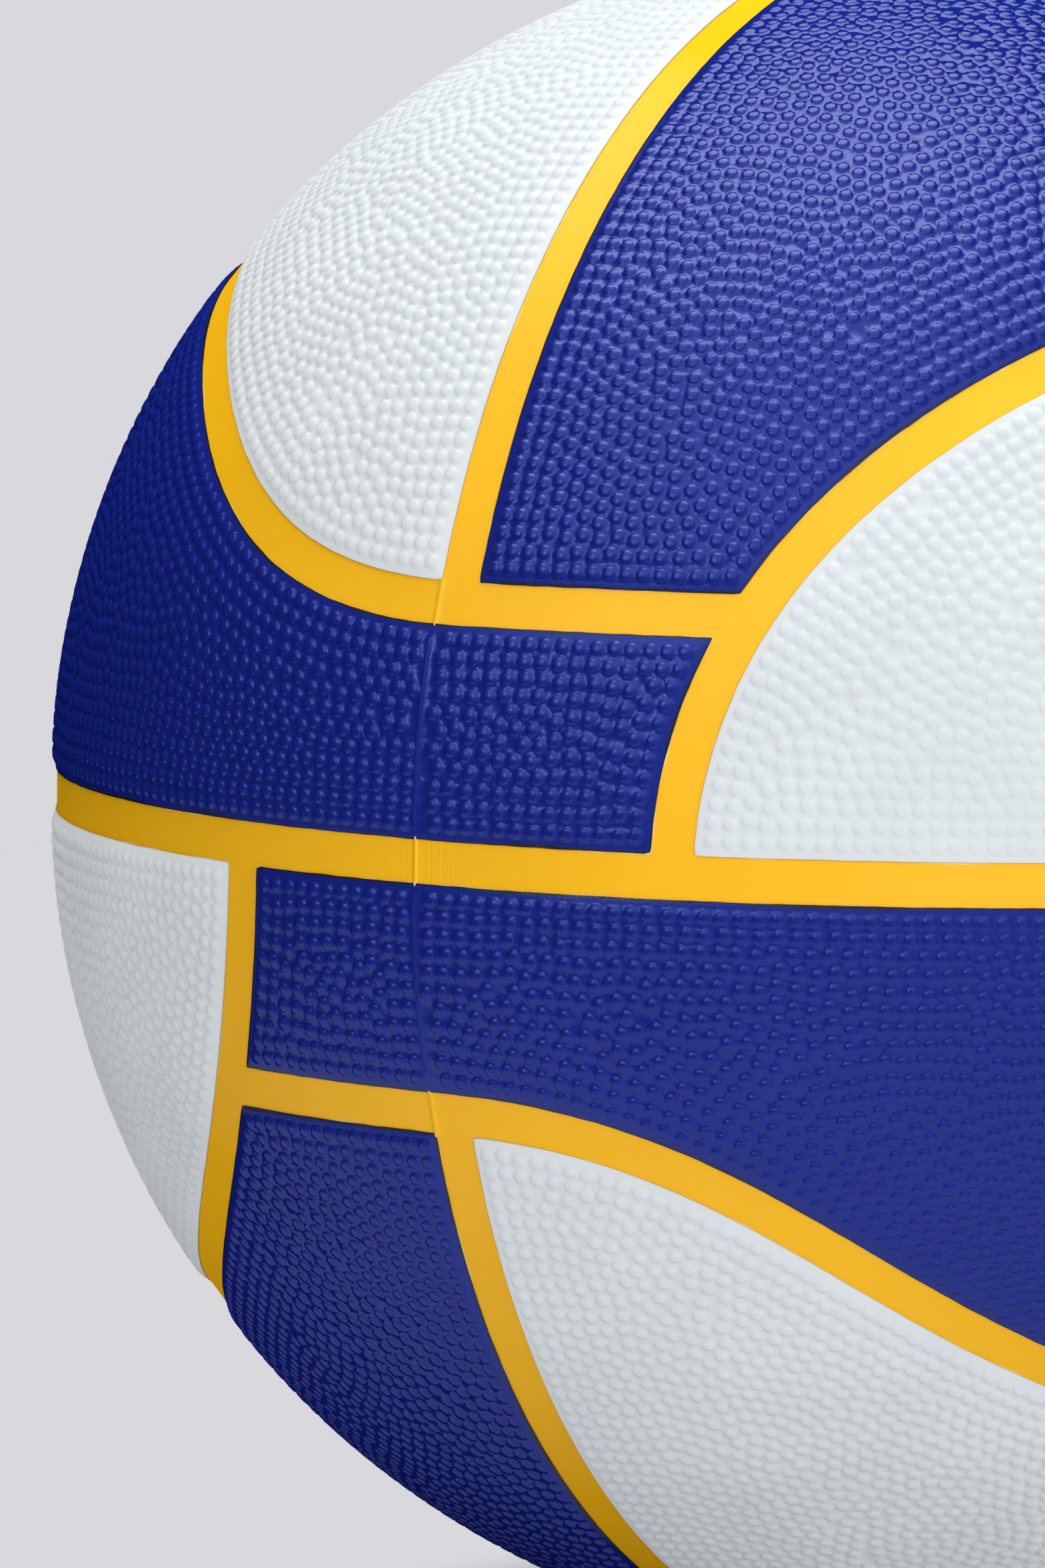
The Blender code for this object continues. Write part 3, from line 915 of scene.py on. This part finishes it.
def fine_grain(tree, shader, pattern, roughness, strength, height_mm):
    """Roughness and a low relief that follow one pattern."""
    low, high = roughness
    satin = add_node(tree, "MapRange", {"Value": pattern, "To Min": low, "To Max": high})
    tree.links.new(satin.outputs["Result"], shader.inputs["Roughness"])
    bump = add_node(tree, "Bump", {
        "Height": pattern, "Strength": strength, "Distance": height_mm * MM})
    tree.links.new(bump.outputs["Normal"], shader.inputs["Normal"])


def frayed_edge(tree, shader, body, line_colour, fray, share, width_mm):
    """Body colour with a line of uneven width along the edge, by the distances in the mesh."""
    edge = add_node(tree, "Attribute", attribute_name="edge_mm").outputs["Fac"]
    width = add_node(tree, "MapRange", {
        "Value": fray, "From Min": share[0], "From Max": share[1],
        "To Min": width_mm[0], "To Max": width_mm[1]})
    line = add_node(tree, "Math", {0: edge, 1: width.outputs["Result"]}, operation="LESS_THAN")
    shown = add_node(tree, "Mix", {
        "Factor": line.outputs["Value"], 6: body, 7: line_colour}, data_type="RGBA")
    tree.links.new(shown.outputs[2], shader.inputs["Base Color"])


# Moulded panel rubber: a satin skin with a faint cloudiness, a matt grain as fine as the mould's
# etching, and a thin darker line along the edge, partly where the panel's colour laps over the
# channel and partly painted shade of the gap where the panel's edge meets the channel
def moulded_panel_rubber(name, colour, edge_and_shade_colour, edge_width_mm, roughness, gloss, sockets):
    material, tree, shader = new_material(name)
    at = add_node(tree, "TexCoord").outputs["Object"]
    cloud = add_node(tree, "TexNoise", {"Vector": at, "Scale": per_metre(18.0), "Detail": 3.0})
    body = add_node(tree, "Mix", {
        "Factor": cloud.outputs["Fac"], 6: shade(colour, 0.94), 7: shade(colour, 1.06)},
        data_type="RGBA")
    fray = add_node(tree, "TexNoise", {"Vector": at, "Scale": per_metre(16.0), "Detail": 6.0})
    # Darker line along the edge: partly the panel's colour lapping over the channel, partly painted
    # shade of the gap at the edge
    frayed_edge(
        tree, shader, body.outputs[2], edge_and_shade_colour, fray.outputs["Fac"], share=(0.4, 0.68),
        width_mm=(0.3 * edge_width_mm, edge_width_mm))
    grain = add_node(tree, "TexNoise", {"Vector": at, "Scale": per_metre(0.38), "Detail": 4.0})
    fine_grain(
        tree, shader, grain.outputs["Fac"], roughness=(roughness - 0.08, roughness + 0.08),
        strength=0.5, height_mm=0.065)
    shader.inputs["IOR"].default_value = RUBBER_IOR
    for socket, value in sockets.items():
        shader.inputs[socket].default_value = value
    fade_gloss(tree, shader, gloss)
    return material


# Channel rubber: smooth where the mould was polished, with slow drifts of its colour and a pale
# cream line of uneven width here and there along its edge
def polished_channel_rubber(colour):
    material, tree, shader = new_material("polished_channel_rubber")
    at = add_node(tree, "TexCoord").outputs["Object"]
    drift = add_node(tree, "TexNoise", {"Vector": at, "Scale": per_metre(22.0), "Detail": 2.0})
    body = add_node(tree, "Mix", {
        "Factor": drift.outputs["Fac"], 6: shade(colour, 0.95), 7: shade(colour, 1.05)},
        data_type="RGBA")
    fray = add_node(tree, "TexNoise", {"Vector": at, "Scale": per_metre(9.0), "Detail": 4.0})
    frayed_edge(
        tree, shader, body.outputs[2], linear("F6DC94"), fray.outputs["Fac"], share=(0.52, 0.7),
        width_mm=(0.0, 0.24))
    grain = add_node(tree, "TexNoise", {"Vector": at, "Scale": per_metre(0.6), "Detail": 3.0})
    fine_grain(
        tree, shader, grain.outputs["Fac"], roughness=(0.42, 0.54), strength=0.3, height_mm=0.03)
    shader.inputs["IOR"].default_value = RUBBER_IOR
    fade_gloss(tree, shader, CHANNEL_GLOSS)
    return material


# Moulded black rubber: dull, with a fine grain
def dull_black_rubber(name, colour, roughness):
    material, tree, shader = new_material(name)
    at = add_node(tree, "TexCoord").outputs["Object"]
    grain = add_node(tree, "TexNoise", {"Vector": at, "Scale": per_metre(0.4), "Detail": 3.0})
    body = add_node(tree, "Mix", {
        "Factor": grain.outputs["Fac"], 6: shade(colour, 0.8), 7: shade(colour, 1.2)},
        data_type="RGBA")
    tree.links.new(body.outputs[2], shader.inputs["Base Color"])
    fine_grain(
        tree, shader, grain.outputs["Fac"], roughness=(roughness - 0.06, roughness + 0.06),
        strength=0.4, height_mm=0.04)
    shader.inputs["IOR"].default_value = 1.52
    return material


# Wound nylon thread under a film of latex: fine strands laid in many directions
def wound_nylon_thread():
    material, tree, shader = new_material("wound_nylon_thread")
    at = add_node(tree, "TexCoord").outputs["Object"]
    strands = add_node(tree, "TexWave", {
        "Vector": at, "Scale": per_metre(0.8) / WAVE_RATE, "Distortion": 6.0, "Detail": 3.0})
    body = add_node(tree, "Mix", {
        "Factor": strands.outputs["Fac"], 6: linear("B8B09A"), 7: linear("DED8C6")},
        data_type="RGBA")
    tree.links.new(body.outputs[2], shader.inputs["Base Color"])
    shader.inputs["Roughness"].default_value = 0.8
    bump = add_node(tree, "Bump", {
        "Height": strands.outputs["Fac"], "Strength": 0.6, "Distance": 0.2 * MM})
    tree.links.new(bump.outputs["Normal"], shader.inputs["Normal"])
    return material


# Strips

def network_tree():
    """All channel paths of the ball."""
    loop, meridian = loop_path(), meridian_path()
    paths = [equator_path(0.0, 2.0 * HALF_TURN)]
    paths += [loop * turn for turn in HALF_TURNS.values()]
    paths += [meridian, meridian * HALF_TURNS["lower_left"]]
    return tree_of(np.concatenate(paths))


def beyond_parting(places):
    """Distance to the right of the parting line of the face that a place is on."""
    return PARTING_OFFSET - np.sign(places[..., 1]) * places[..., 0] * BALL_RADIUS


def channel_floor(places, away, sizes, has_parting):
    """Radius of the channels' floor: a slight dish, and the parting line's ridge and ripples."""
    across = np.clip(away / (sizes.channel_width / 2.0), 0.0, 1.0)
    radius = BALL_RADIUS - sizes.channel_depth + STRIP_DISH * across ** 2
    if not has_parting:
        return radius
    beyond = beyond_parting(places)
    radius = radius + STRIP_RIDGE_HEIGHT * np.exp(-(beyond / STRIP_RIDGE_WIDTH) ** 2)
    fade = np.exp(-np.abs(beyond) / RIPPLE_REACH) * np.where(beyond > 0.0, 1.0, RIPPLE_LEFT_SHARE)
    fade = fade * np.exp(-(places[:, 2] * BALL_RADIUS / sizes.channel_width) ** 2)
    turn = 2.0 * np.pi * beyond / RIPPLE_LENGTH
    uneven = np.sin(turn / RIPPLE_SWELL)
    swell = 1.0 - RIPPLE_UNEVENNESS + RIPPLE_UNEVENNESS * uneven
    return radius + RIPPLE_HEIGHT * fade * swell * np.sin(turn + uneven)


def stations(path, has_parting):
    """Shares of a path at which a strip has a row of points: closer by the parting line."""
    along = lengths_along(path)
    shares = np.linspace(0.0, 1.0, round(along[-1] / STRIP_STEP) + 1)
    if has_parting:
        near = np.abs(beyond_parting(path)) < FINE_REACH
        fine = np.linspace(0.0, 1.0, round(along[-1] / FINE_STEP) + 1)
        fine = fine[np.interp(fine * along[-1], along, near) > 0.5]
        shares = np.union1d(np.round(shares, 6), np.round(fine, 6))
    return shares


def trimmed(line, tree, reach):
    """A line from where it leaves a neighbouring strip, which it starts inside."""
    away = distance_to(line, tree)
    first = int(np.argmax(away >= reach))
    share = (reach - away[first - 1]) / (away[first] - away[first - 1])
    start = line[first - 1] + share * (line[first] - line[first - 1])
    return np.concatenate([unit(start)[None], line[first:]])


def strip_sheet(path, sizes, network, has_parting, neighbours=()):
    """Rows of points across a strip's face, which stops at the neighbouring strips, and the
    distance of each point from the panels' edges."""
    half = sizes.channel_width / 2.0 + STRIP_UNDERLAP
    shares = stations(path, has_parting)
    columns = []
    for share in np.linspace(1.0, -1.0, STRIP_COLUMNS + 1):
        line = shifted(path, share * half)
        if neighbours:
            start, end = neighbours
            line = trimmed(line, start, half + STRIP_JOINT)
            line = trimmed(line[::-1], end, half + STRIP_JOINT)[::-1]
        columns.append(read_at(line, shares * lengths_along(line)[-1]))
    places = np.stack(columns, axis=1)
    away = distance_to(places.reshape(-1, 3), network)
    radius = channel_floor(places.reshape(-1, 3), away, sizes, has_parting)
    return places * radius.reshape(places.shape[:2] + (1,)), sizes.channel_width / 2.0 - away


def strip_piece(name, sheet, edge, material):
    """Lays a grid in its channel and thickens it inward."""
    rows, columns = sheet.shape[:2]
    piece = add_primitive(
        name, bpy.ops.mesh.primitive_grid_add, x_subdivisions=columns - 1, y_subdivisions=rows - 1)
    piece.data.vertices.foreach_set("co", sheet.reshape(-1))
    piece.data.attributes.new("edge_mm", "FLOAT", "POINT").data.foreach_set("value", edge / MM)
    start_editing()
    bpy.ops.mesh.remove_doubles(threshold=MERGE_DISTANCE)
    bpy.ops.object.mode_set(mode="OBJECT")
    apply_modifier(piece, "SOLIDIFY", thickness=STRIP_THICKNESS, offset=-1.0)
    return give_skin(piece, material)


# Valve

def turned_piece(name, profile, material):
    """Extrudes a ring from point to point of a closed profile of (radius, height) about the valve."""
    radius, height = profile[0]
    piece = add_primitive(
        name, bpy.ops.mesh.primitive_circle_add, vertices=VALVE_SIDES, radius=radius)
    start_editing()
    bpy.ops.transform.translate(value=(0.0, 0.0, height))
    for next_radius, next_height in profile[1:] + profile[:1]:
        bpy.ops.mesh.extrude_edges_move(
            TRANSFORM_OT_translate={"value": (0.0, 0.0, next_height - height)})
        spread = next_radius / radius
        bpy.ops.transform.resize(
            value=(spread, spread, 1.0), center_override=(0.0, 0.0, next_height))
        radius, height = next_radius, next_height
    bpy.ops.mesh.select_all(action="SELECT")
    bpy.ops.mesh.remove_doubles(threshold=MERGE_DISTANCE)
    bpy.ops.mesh.normals_make_consistent(inside=False)
    bpy.ops.object.mode_set(mode="OBJECT")
    apply_modifier(piece, "BEVEL", width=VALVE_ROUNDING, segments=2, limit_method="ANGLE")
    piece.rotation_mode = "QUATERNION"
    piece.rotation_quaternion = VALVE_AXIS.to_track_quat("Z", "Y")
    bpy.ops.object.transform_apply(location=True, rotation=True, scale=True)
    return give_skin(piece, material)


def on_shell(radius, shell):
    """A profile point on a layer of the ball, at a distance from the valve's axis."""
    return radius, math.sqrt(shell * shell - radius * radius)


def housing_profile():
    """Neck with a flat face, recess and bore for the plug, boot, and flange under the bladder."""
    return [
        (NECK_RADIUS, VALVE_FACE - NECK_CHAMFER),
        (NECK_RADIUS - NECK_CHAMFER, VALVE_FACE),
        (RECESS_RADIUS + RECESS_CHAMFER, VALVE_FACE),
        (RECESS_RADIUS, VALVE_FACE - RECESS_CHAMFER),
        (RECESS_RADIUS, RECESS_FLOOR),
        (BORE_RADIUS, RECESS_FLOOR),
        (BORE_RADIUS, BOOT_INSIDE),
        (BOOT_MOUTH_RADIUS, BOOT_INSIDE),
        (BOOT_MOUTH_RADIUS, BOOT_BOTTOM),
        (BOOT_RADIUS, BOOT_BOTTOM),
        on_shell(BOOT_RADIUS, FLANGE_BOTTOM),
        on_shell(FLANGE_RADIUS / 2.0, FLANGE_BOTTOM),
        on_shell(FLANGE_RADIUS, FLANGE_BOTTOM),
        on_shell(FLANGE_RADIUS, FLANGE_TOP),
        on_shell(FLANGE_RADIUS / 2.0, FLANGE_TOP),
        on_shell(NECK_RADIUS, FLANGE_TOP),
    ]


def plug_profile():
    """Head with a dished middle, stem and tapered tip, round the needle's hole."""
    return [
        (NEEDLE_RADIUS, VALVE_FACE - DISH_DEPTH),
        (DISH_RADIUS * DISH_MIDDLE[0], VALVE_FACE - DISH_DEPTH * DISH_MIDDLE[1]),
        (DISH_RADIUS, VALVE_FACE),
        (HEAD_RADIUS - HEAD_CHAMFER, VALVE_FACE),
        (HEAD_RADIUS, VALVE_FACE - HEAD_CHAMFER),
        (HEAD_RADIUS, PLUG_SHOULDER),
        (STEM_RADIUS, PLUG_SHOULDER),
        (STEM_RADIUS, PLUG_TIP + TAPER_LENGTH),
        (TIP_RADIUS, PLUG_TIP),
        (NEEDLE_RADIUS, PLUG_TIP),
    ]


# Stage

def view_axes():
    """The camera's right, up and back directions in the ball's frame, before it aims off centre."""
    azimuth, elevation = math.radians(VIEW_AZIMUTH), math.radians(VIEW_ELEVATION)
    back = Vector((
        math.sin(azimuth) * math.cos(elevation),
        -math.cos(azimuth) * math.cos(elevation),
        math.sin(elevation)))
    right = Vector((0.0, 0.0, 1.0)).cross(back).normalized()
    return right, back.cross(right), back


def focal_pixels():
    return BALL_PIXEL_RADIUS * math.sqrt(VIEW_DISTANCE ** 2 - 1.0)


def camera_place():
    """Stands the camera so that the ball's middle falls on its pixel in the photograph's frame."""
    right, up, back = view_axes()
    roll = math.radians(VIEW_ROLL)
    level = Matrix((
        right * math.cos(roll) + up * math.sin(roll),
        up * math.cos(roll) - right * math.sin(roll),
        back)).transposed()
    aim = Vector((
        (BALL_PIXEL[0] - IMAGE_SIZE[0] / 2.0) / focal_pixels(),
        (IMAGE_SIZE[1] / 2.0 - BALL_PIXEL[1]) / focal_pixels(),
        -1.0)).normalized()
    own_right = Vector((0.0, 1.0, 0.0)).cross(-aim).normalized()
    own = Matrix((own_right, (-aim).cross(own_right), -aim))
    spot = Matrix.Translation(back * VIEW_DISTANCE * BALL_RADIUS)
    return spot @ (level @ own).to_4x4()


def add_camera():
    lens = bpy.data.cameras.new("camera")
    lens.sensor_width = SENSOR_WIDTH
    lens.lens = focal_pixels() * SENSOR_WIDTH / max(IMAGE_SIZE)
    camera = bpy.data.objects.new("camera", lens)
    bpy.context.scene.collection.objects.link(camera)
    camera.matrix_world = camera_place()
    bpy.context.scene.camera = camera


def add_softbox(name, along, size, power, shows):
    """A round area light that looks at the ball from a place in the camera's axes."""
    right, up, back = view_axes()
    spot = (right * along[0] + up * along[1] + back * along[2]) * BALL_RADIUS
    lamp = bpy.data.lights.new(name, "AREA")
    lamp.shape = "DISK"
    lamp.size = size
    lamp.energy = power
    light = bpy.data.objects.new(name, lamp)
    bpy.context.scene.collection.objects.link(light)
    light.location = spot
    light.rotation_mode = "QUATERNION"
    light.rotation_quaternion = spot.to_track_quat("Z", "Y")
    light.visible_glossy = shows


def background_rays(tree, mirrored_share):
    """1 for the rays that see the background itself, 0 for those that light the ball, and a share
    for those that a glossy or a clear surface sends on."""
    path = add_node(tree, "LightPath").outputs
    sent_on = add_node(
        tree, "Math", {0: path["Is Glossy Ray"], 1: path["Is Transmission Ray"]}, operation="MAXIMUM")
    part = add_node(tree, "Math", {0: sent_on.outputs[0], 1: mirrored_share}, operation="MULTIPLY")
    both = add_node(tree, "Math", {0: path["Is Camera Ray"], 1: part.outputs[0]}, operation="MAXIMUM")
    return both.outputs[0]


def light_world(colour):
    world = bpy.data.worlds.new("studio")
    bpy.context.scene.world = world
    world.use_nodes = True
    tree = world.node_tree
    room = tree.nodes["Background"]
    room.inputs["Color"].default_value = linear(ROOM_COLOUR)
    room.inputs["Strength"].default_value = ROOM_STRENGTH
    seen = add_node(tree, "Background", {"Color": colour, "Strength": 1.0})
    way = add_node(tree, "TexCoord").outputs["Generated"]
    behind = add_node(tree, "VectorMath", {0: way, 1: -view_axes()[2]}, operation="DOT_PRODUCT")
    low, high = BACKDROP_EDGE
    wall = add_node(tree, "MapRange", {
        "Value": behind.outputs["Value"], "From Min": low, "From Max": high},
        interpolation_type="SMOOTHSTEP")
    share = background_rays(tree, wall.outputs["Result"])
    mix = add_node(tree, "MixShader", {0: share, 1: room.outputs[0], 2: seen.outputs[0]})
    tree.links.new(mix.outputs[0], tree.nodes["World Output"].inputs["Surface"])


# Matt paper floor: keeps the ball's shadow near it, and runs into the backdrop's even grey
def paper_floor(colour):
    material, tree, shader = new_material("matt_paper_floor")
    shader.inputs["Base Color"].default_value = shade(colour, 0.9)
    shader.inputs["Roughness"].default_value = 0.9
    shader.inputs["Specular IOR Level"].default_value = 0.1
    at = add_node(tree, "TexCoord").outputs["Object"]
    away = add_node(tree, "VectorMath", {0: at}, operation="LENGTH")
    near, far = SHADOW_REACH
    clear = add_node(tree, "MapRange", {
        "Value": away.outputs["Value"], "From Min": near, "From Max": far},
        interpolation_type="SMOOTHSTEP")
    share = add_node(
        tree, "Math", {0: clear.outputs["Result"], 1: background_rays(tree, FLOOR_MIRRORED)},
        operation="MULTIPLY")
    even = add_node(tree, "Emission", {"Color": colour, "Strength": 1.0})
    mix = add_node(tree, "MixShader", {0: share.outputs[0], 1: shader.outputs[0], 2: even.outputs[0]})
    tree.links.new(mix.outputs[0], tree.nodes["Material Output"].inputs["Surface"])
    return material


def add_floor(colour):
    floor = add_primitive(
        "floor", bpy.ops.mesh.primitive_circle_add, vertices=FLOOR_SIDES, radius=FLOOR_RADIUS,
        fill_type="NGON", location=(0.0, 0.0, -BALL_RADIUS - FLOOR_GAP))
    floor.data.materials.append(paper_floor(colour))


# Operators and panel

class BASKETBALL_OT_panels(bpy.types.Operator):
    """Moulds the eight pebbled panels"""
    bl_idname = "basketball.panels"
    bl_label = "Pebbled Panels"

    def execute(self, context):
        sizes, colours = context.scene.basketball_sizes, context.scene.basketball_colours
        # The edge colours below make a darker line along each panel's edge: partly its colour lapping
        # over the channel, partly painted shade of the gap there
        white = moulded_panel_rubber(
            "moulded_white_rubber", colours.white, linear("C9B98E"), edge_width_mm=0.10,
            roughness=0.42, gloss=WHITE_GLOSS, sockets={"Diffuse Roughness": 1.0})
        blue = moulded_panel_rubber(
            "moulded_blue_rubber", colours.blue, linear("26201E"), edge_width_mm=0.45,
            roughness=0.29, gloss=BLUE_GLOSS, sockets={"Specular Tint": linear("9BAFFF")})
        sides = side_panel_sides()
        upper = panel_mesh("upper_panel", Ground(sides, sizes, PARTING_OFFSET))
        lower = panel_mesh("lower_panel", Ground(sides, sizes, -PARTING_OFFSET))
        valve_side = panel_mesh("valve_panel", Ground(sides, sizes, PARTING_OFFSET, has_valve=True))
        polar = panel_mesh("polar_panel", Ground(polar_panel_sides(), sizes))
        around = {
            "upper_right": valve_side, "upper_left": upper, "lower_left": lower, "lower_right": lower}
        for key in HALF_TURNS:
            for name, source in ((key, around[key]), (POLAR_NAMES[key], polar)):
                finish = ("white_rubber", white) if name in WHITE_PANELS else ("blue_rubber", blue)
                sister_piece(name + "_cover", source, key, "panel_" + name, *finish)
        for source in (upper, lower, valve_side, polar):
            bpy.data.meshes.remove(source)
        return {"FINISHED"}


class BASKETBALL_OT_strips(bpy.types.Operator):
    """Lays the seven yellow strips in the channels"""
    bl_idname = "basketball.strips"
    bl_label = "Channel Strips"

    def execute(self, context):
        sizes, colours = context.scene.basketball_sizes, context.scene.basketball_colours
        yellow = polished_channel_rubber(colours.yellow)
        network = network_tree()
        equator = equator_path(LOOP_TOP_LON, LOOP_TOP_LON + 2.0 * HALF_TURN)
        ring = strip_piece("equator_channel", *strip_sheet(equator, sizes, network, True), yellow)
        dress(ring, "equator_strip")

        loop = loop_path()
        partner_rise = path_from(loop_rise()) * HALF_TURNS["upper_left"]
        for key, turn in HALF_TURNS.items():
            ends = tree_of(equator), tree_of(partner_rise * turn)
            sheet = strip_sheet(loop * turn, sizes, network, True, ends)
            strip = strip_piece("loop_channel_" + key, *sheet, yellow)
            dress(strip, "loop_strip_" + key)

        fall = path_from(loop_fall())
        ends = tree_of(fall * HALF_TURNS["upper_left"]), tree_of(fall)
        sheet = strip_sheet(meridian_path(), sizes, network, False, ends)
        over = strip_piece("top_meridian_channel", *sheet, yellow)
        sister_piece(
            "bottom_meridian_channel", over.data, "lower_left", "bottom_meridian_strip",
            "yellow_rubber", yellow)
        dress(over, "top_meridian_strip")
        return {"FINISHED"}


class BASKETBALL_OT_layers(bpy.types.Operator):
    """Gives the layers under the cover their finish"""
    bl_idname = "basketball.layers"
    bl_label = "Inner Layers"

    def execute(self, context):
        butyl = dull_black_rubber("cured_butyl_rubber", linear("1E1E20"), roughness=0.6)
        finishes = {
            "carcass": dull_black_rubber("cured_carcass_rubber", linear("3A3432"), roughness=0.75),
            "thread_winding": wound_nylon_thread(),
            "bladder": butyl,
            "valve_patch": butyl,
        }
        for name, material in finishes.items():
            frame["nodes"][name].data.materials.clear()
            frame["nodes"][name].data.materials.append(material)
        return {"FINISHED"}


class BASKETBALL_OT_valve(bpy.types.Operator):
    """Turns the valve's housing and its plug"""
    bl_idname = "basketball.valve"
    bl_label = "Valve"

    def execute(self, context):
        black = context.scene.basketball_colours.valve
        rubber = dull_black_rubber("moulded_valve_rubber", black, roughness=0.5)
        housing = turned_piece("valve_seat", housing_profile(), rubber)
        dress(housing, "valve_housing")
        plug = turned_piece("needle_plug", plug_profile(), rubber)
        dress(plug, "valve_plug", "plug")
        return {"FINISHED"}


class BASKETBALL_OT_stage(bpy.types.Operator):
    """Sets the floor, the lights and the camera"""
    bl_idname = "basketball.stage"
    bl_label = "Studio"

    def execute(self, context):
        colour = context.scene.basketball_colours.background
        light_world(colour)
        add_floor(colour)
        for name, lamp in LAMPS.items():
            add_softbox(name, *lamp)
        add_camera()
        context.scene.view_settings.view_transform = "Standard"
        return {"FINISHED"}


OPERATORS = (
    BASKETBALL_OT_panels,
    BASKETBALL_OT_strips,
    BASKETBALL_OT_layers,
    BASKETBALL_OT_valve,
    BASKETBALL_OT_stage,
)


class BASKETBALL_PT_sidebar(bpy.types.Panel):
    """Sizes, colours and pieces of the basketball"""
    bl_idname = "BASKETBALL_PT_sidebar"
    bl_label = "Basketball"
    bl_space_type = "VIEW_3D"
    bl_region_type = "UI"
    bl_category = "Basketball"

    def draw(self, context):
        for group in (context.scene.basketball_sizes, context.scene.basketball_colours):
            box = self.layout.box()
            for name in group.__annotations__:
                box.prop(group, name)
        for operator in OPERATORS:
            self.layout.operator(operator.bl_idname)


CLASSES = (BasketballSizes, BasketballColours) + OPERATORS + (BASKETBALL_PT_sidebar,)


def register():
    for cls in CLASSES:
        bpy.utils.register_class(cls)
    bpy.types.Scene.basketball_sizes = bpy.props.PointerProperty(type=BasketballSizes)
    bpy.types.Scene.basketball_colours = bpy.props.PointerProperty(type=BasketballColours)


def unregister():
    del bpy.types.Scene.basketball_colours
    del bpy.types.Scene.basketball_sizes
    for cls in reversed(CLASSES):
        bpy.utils.unregister_class(cls)


def main():
    register()
    bpy.ops.basketball.panels()
    bpy.ops.basketball.strips()
    bpy.ops.basketball.layers()
    bpy.ops.basketball.valve()
    bpy.ops.basketball.stage()


if __name__ == "__main__":
    main()
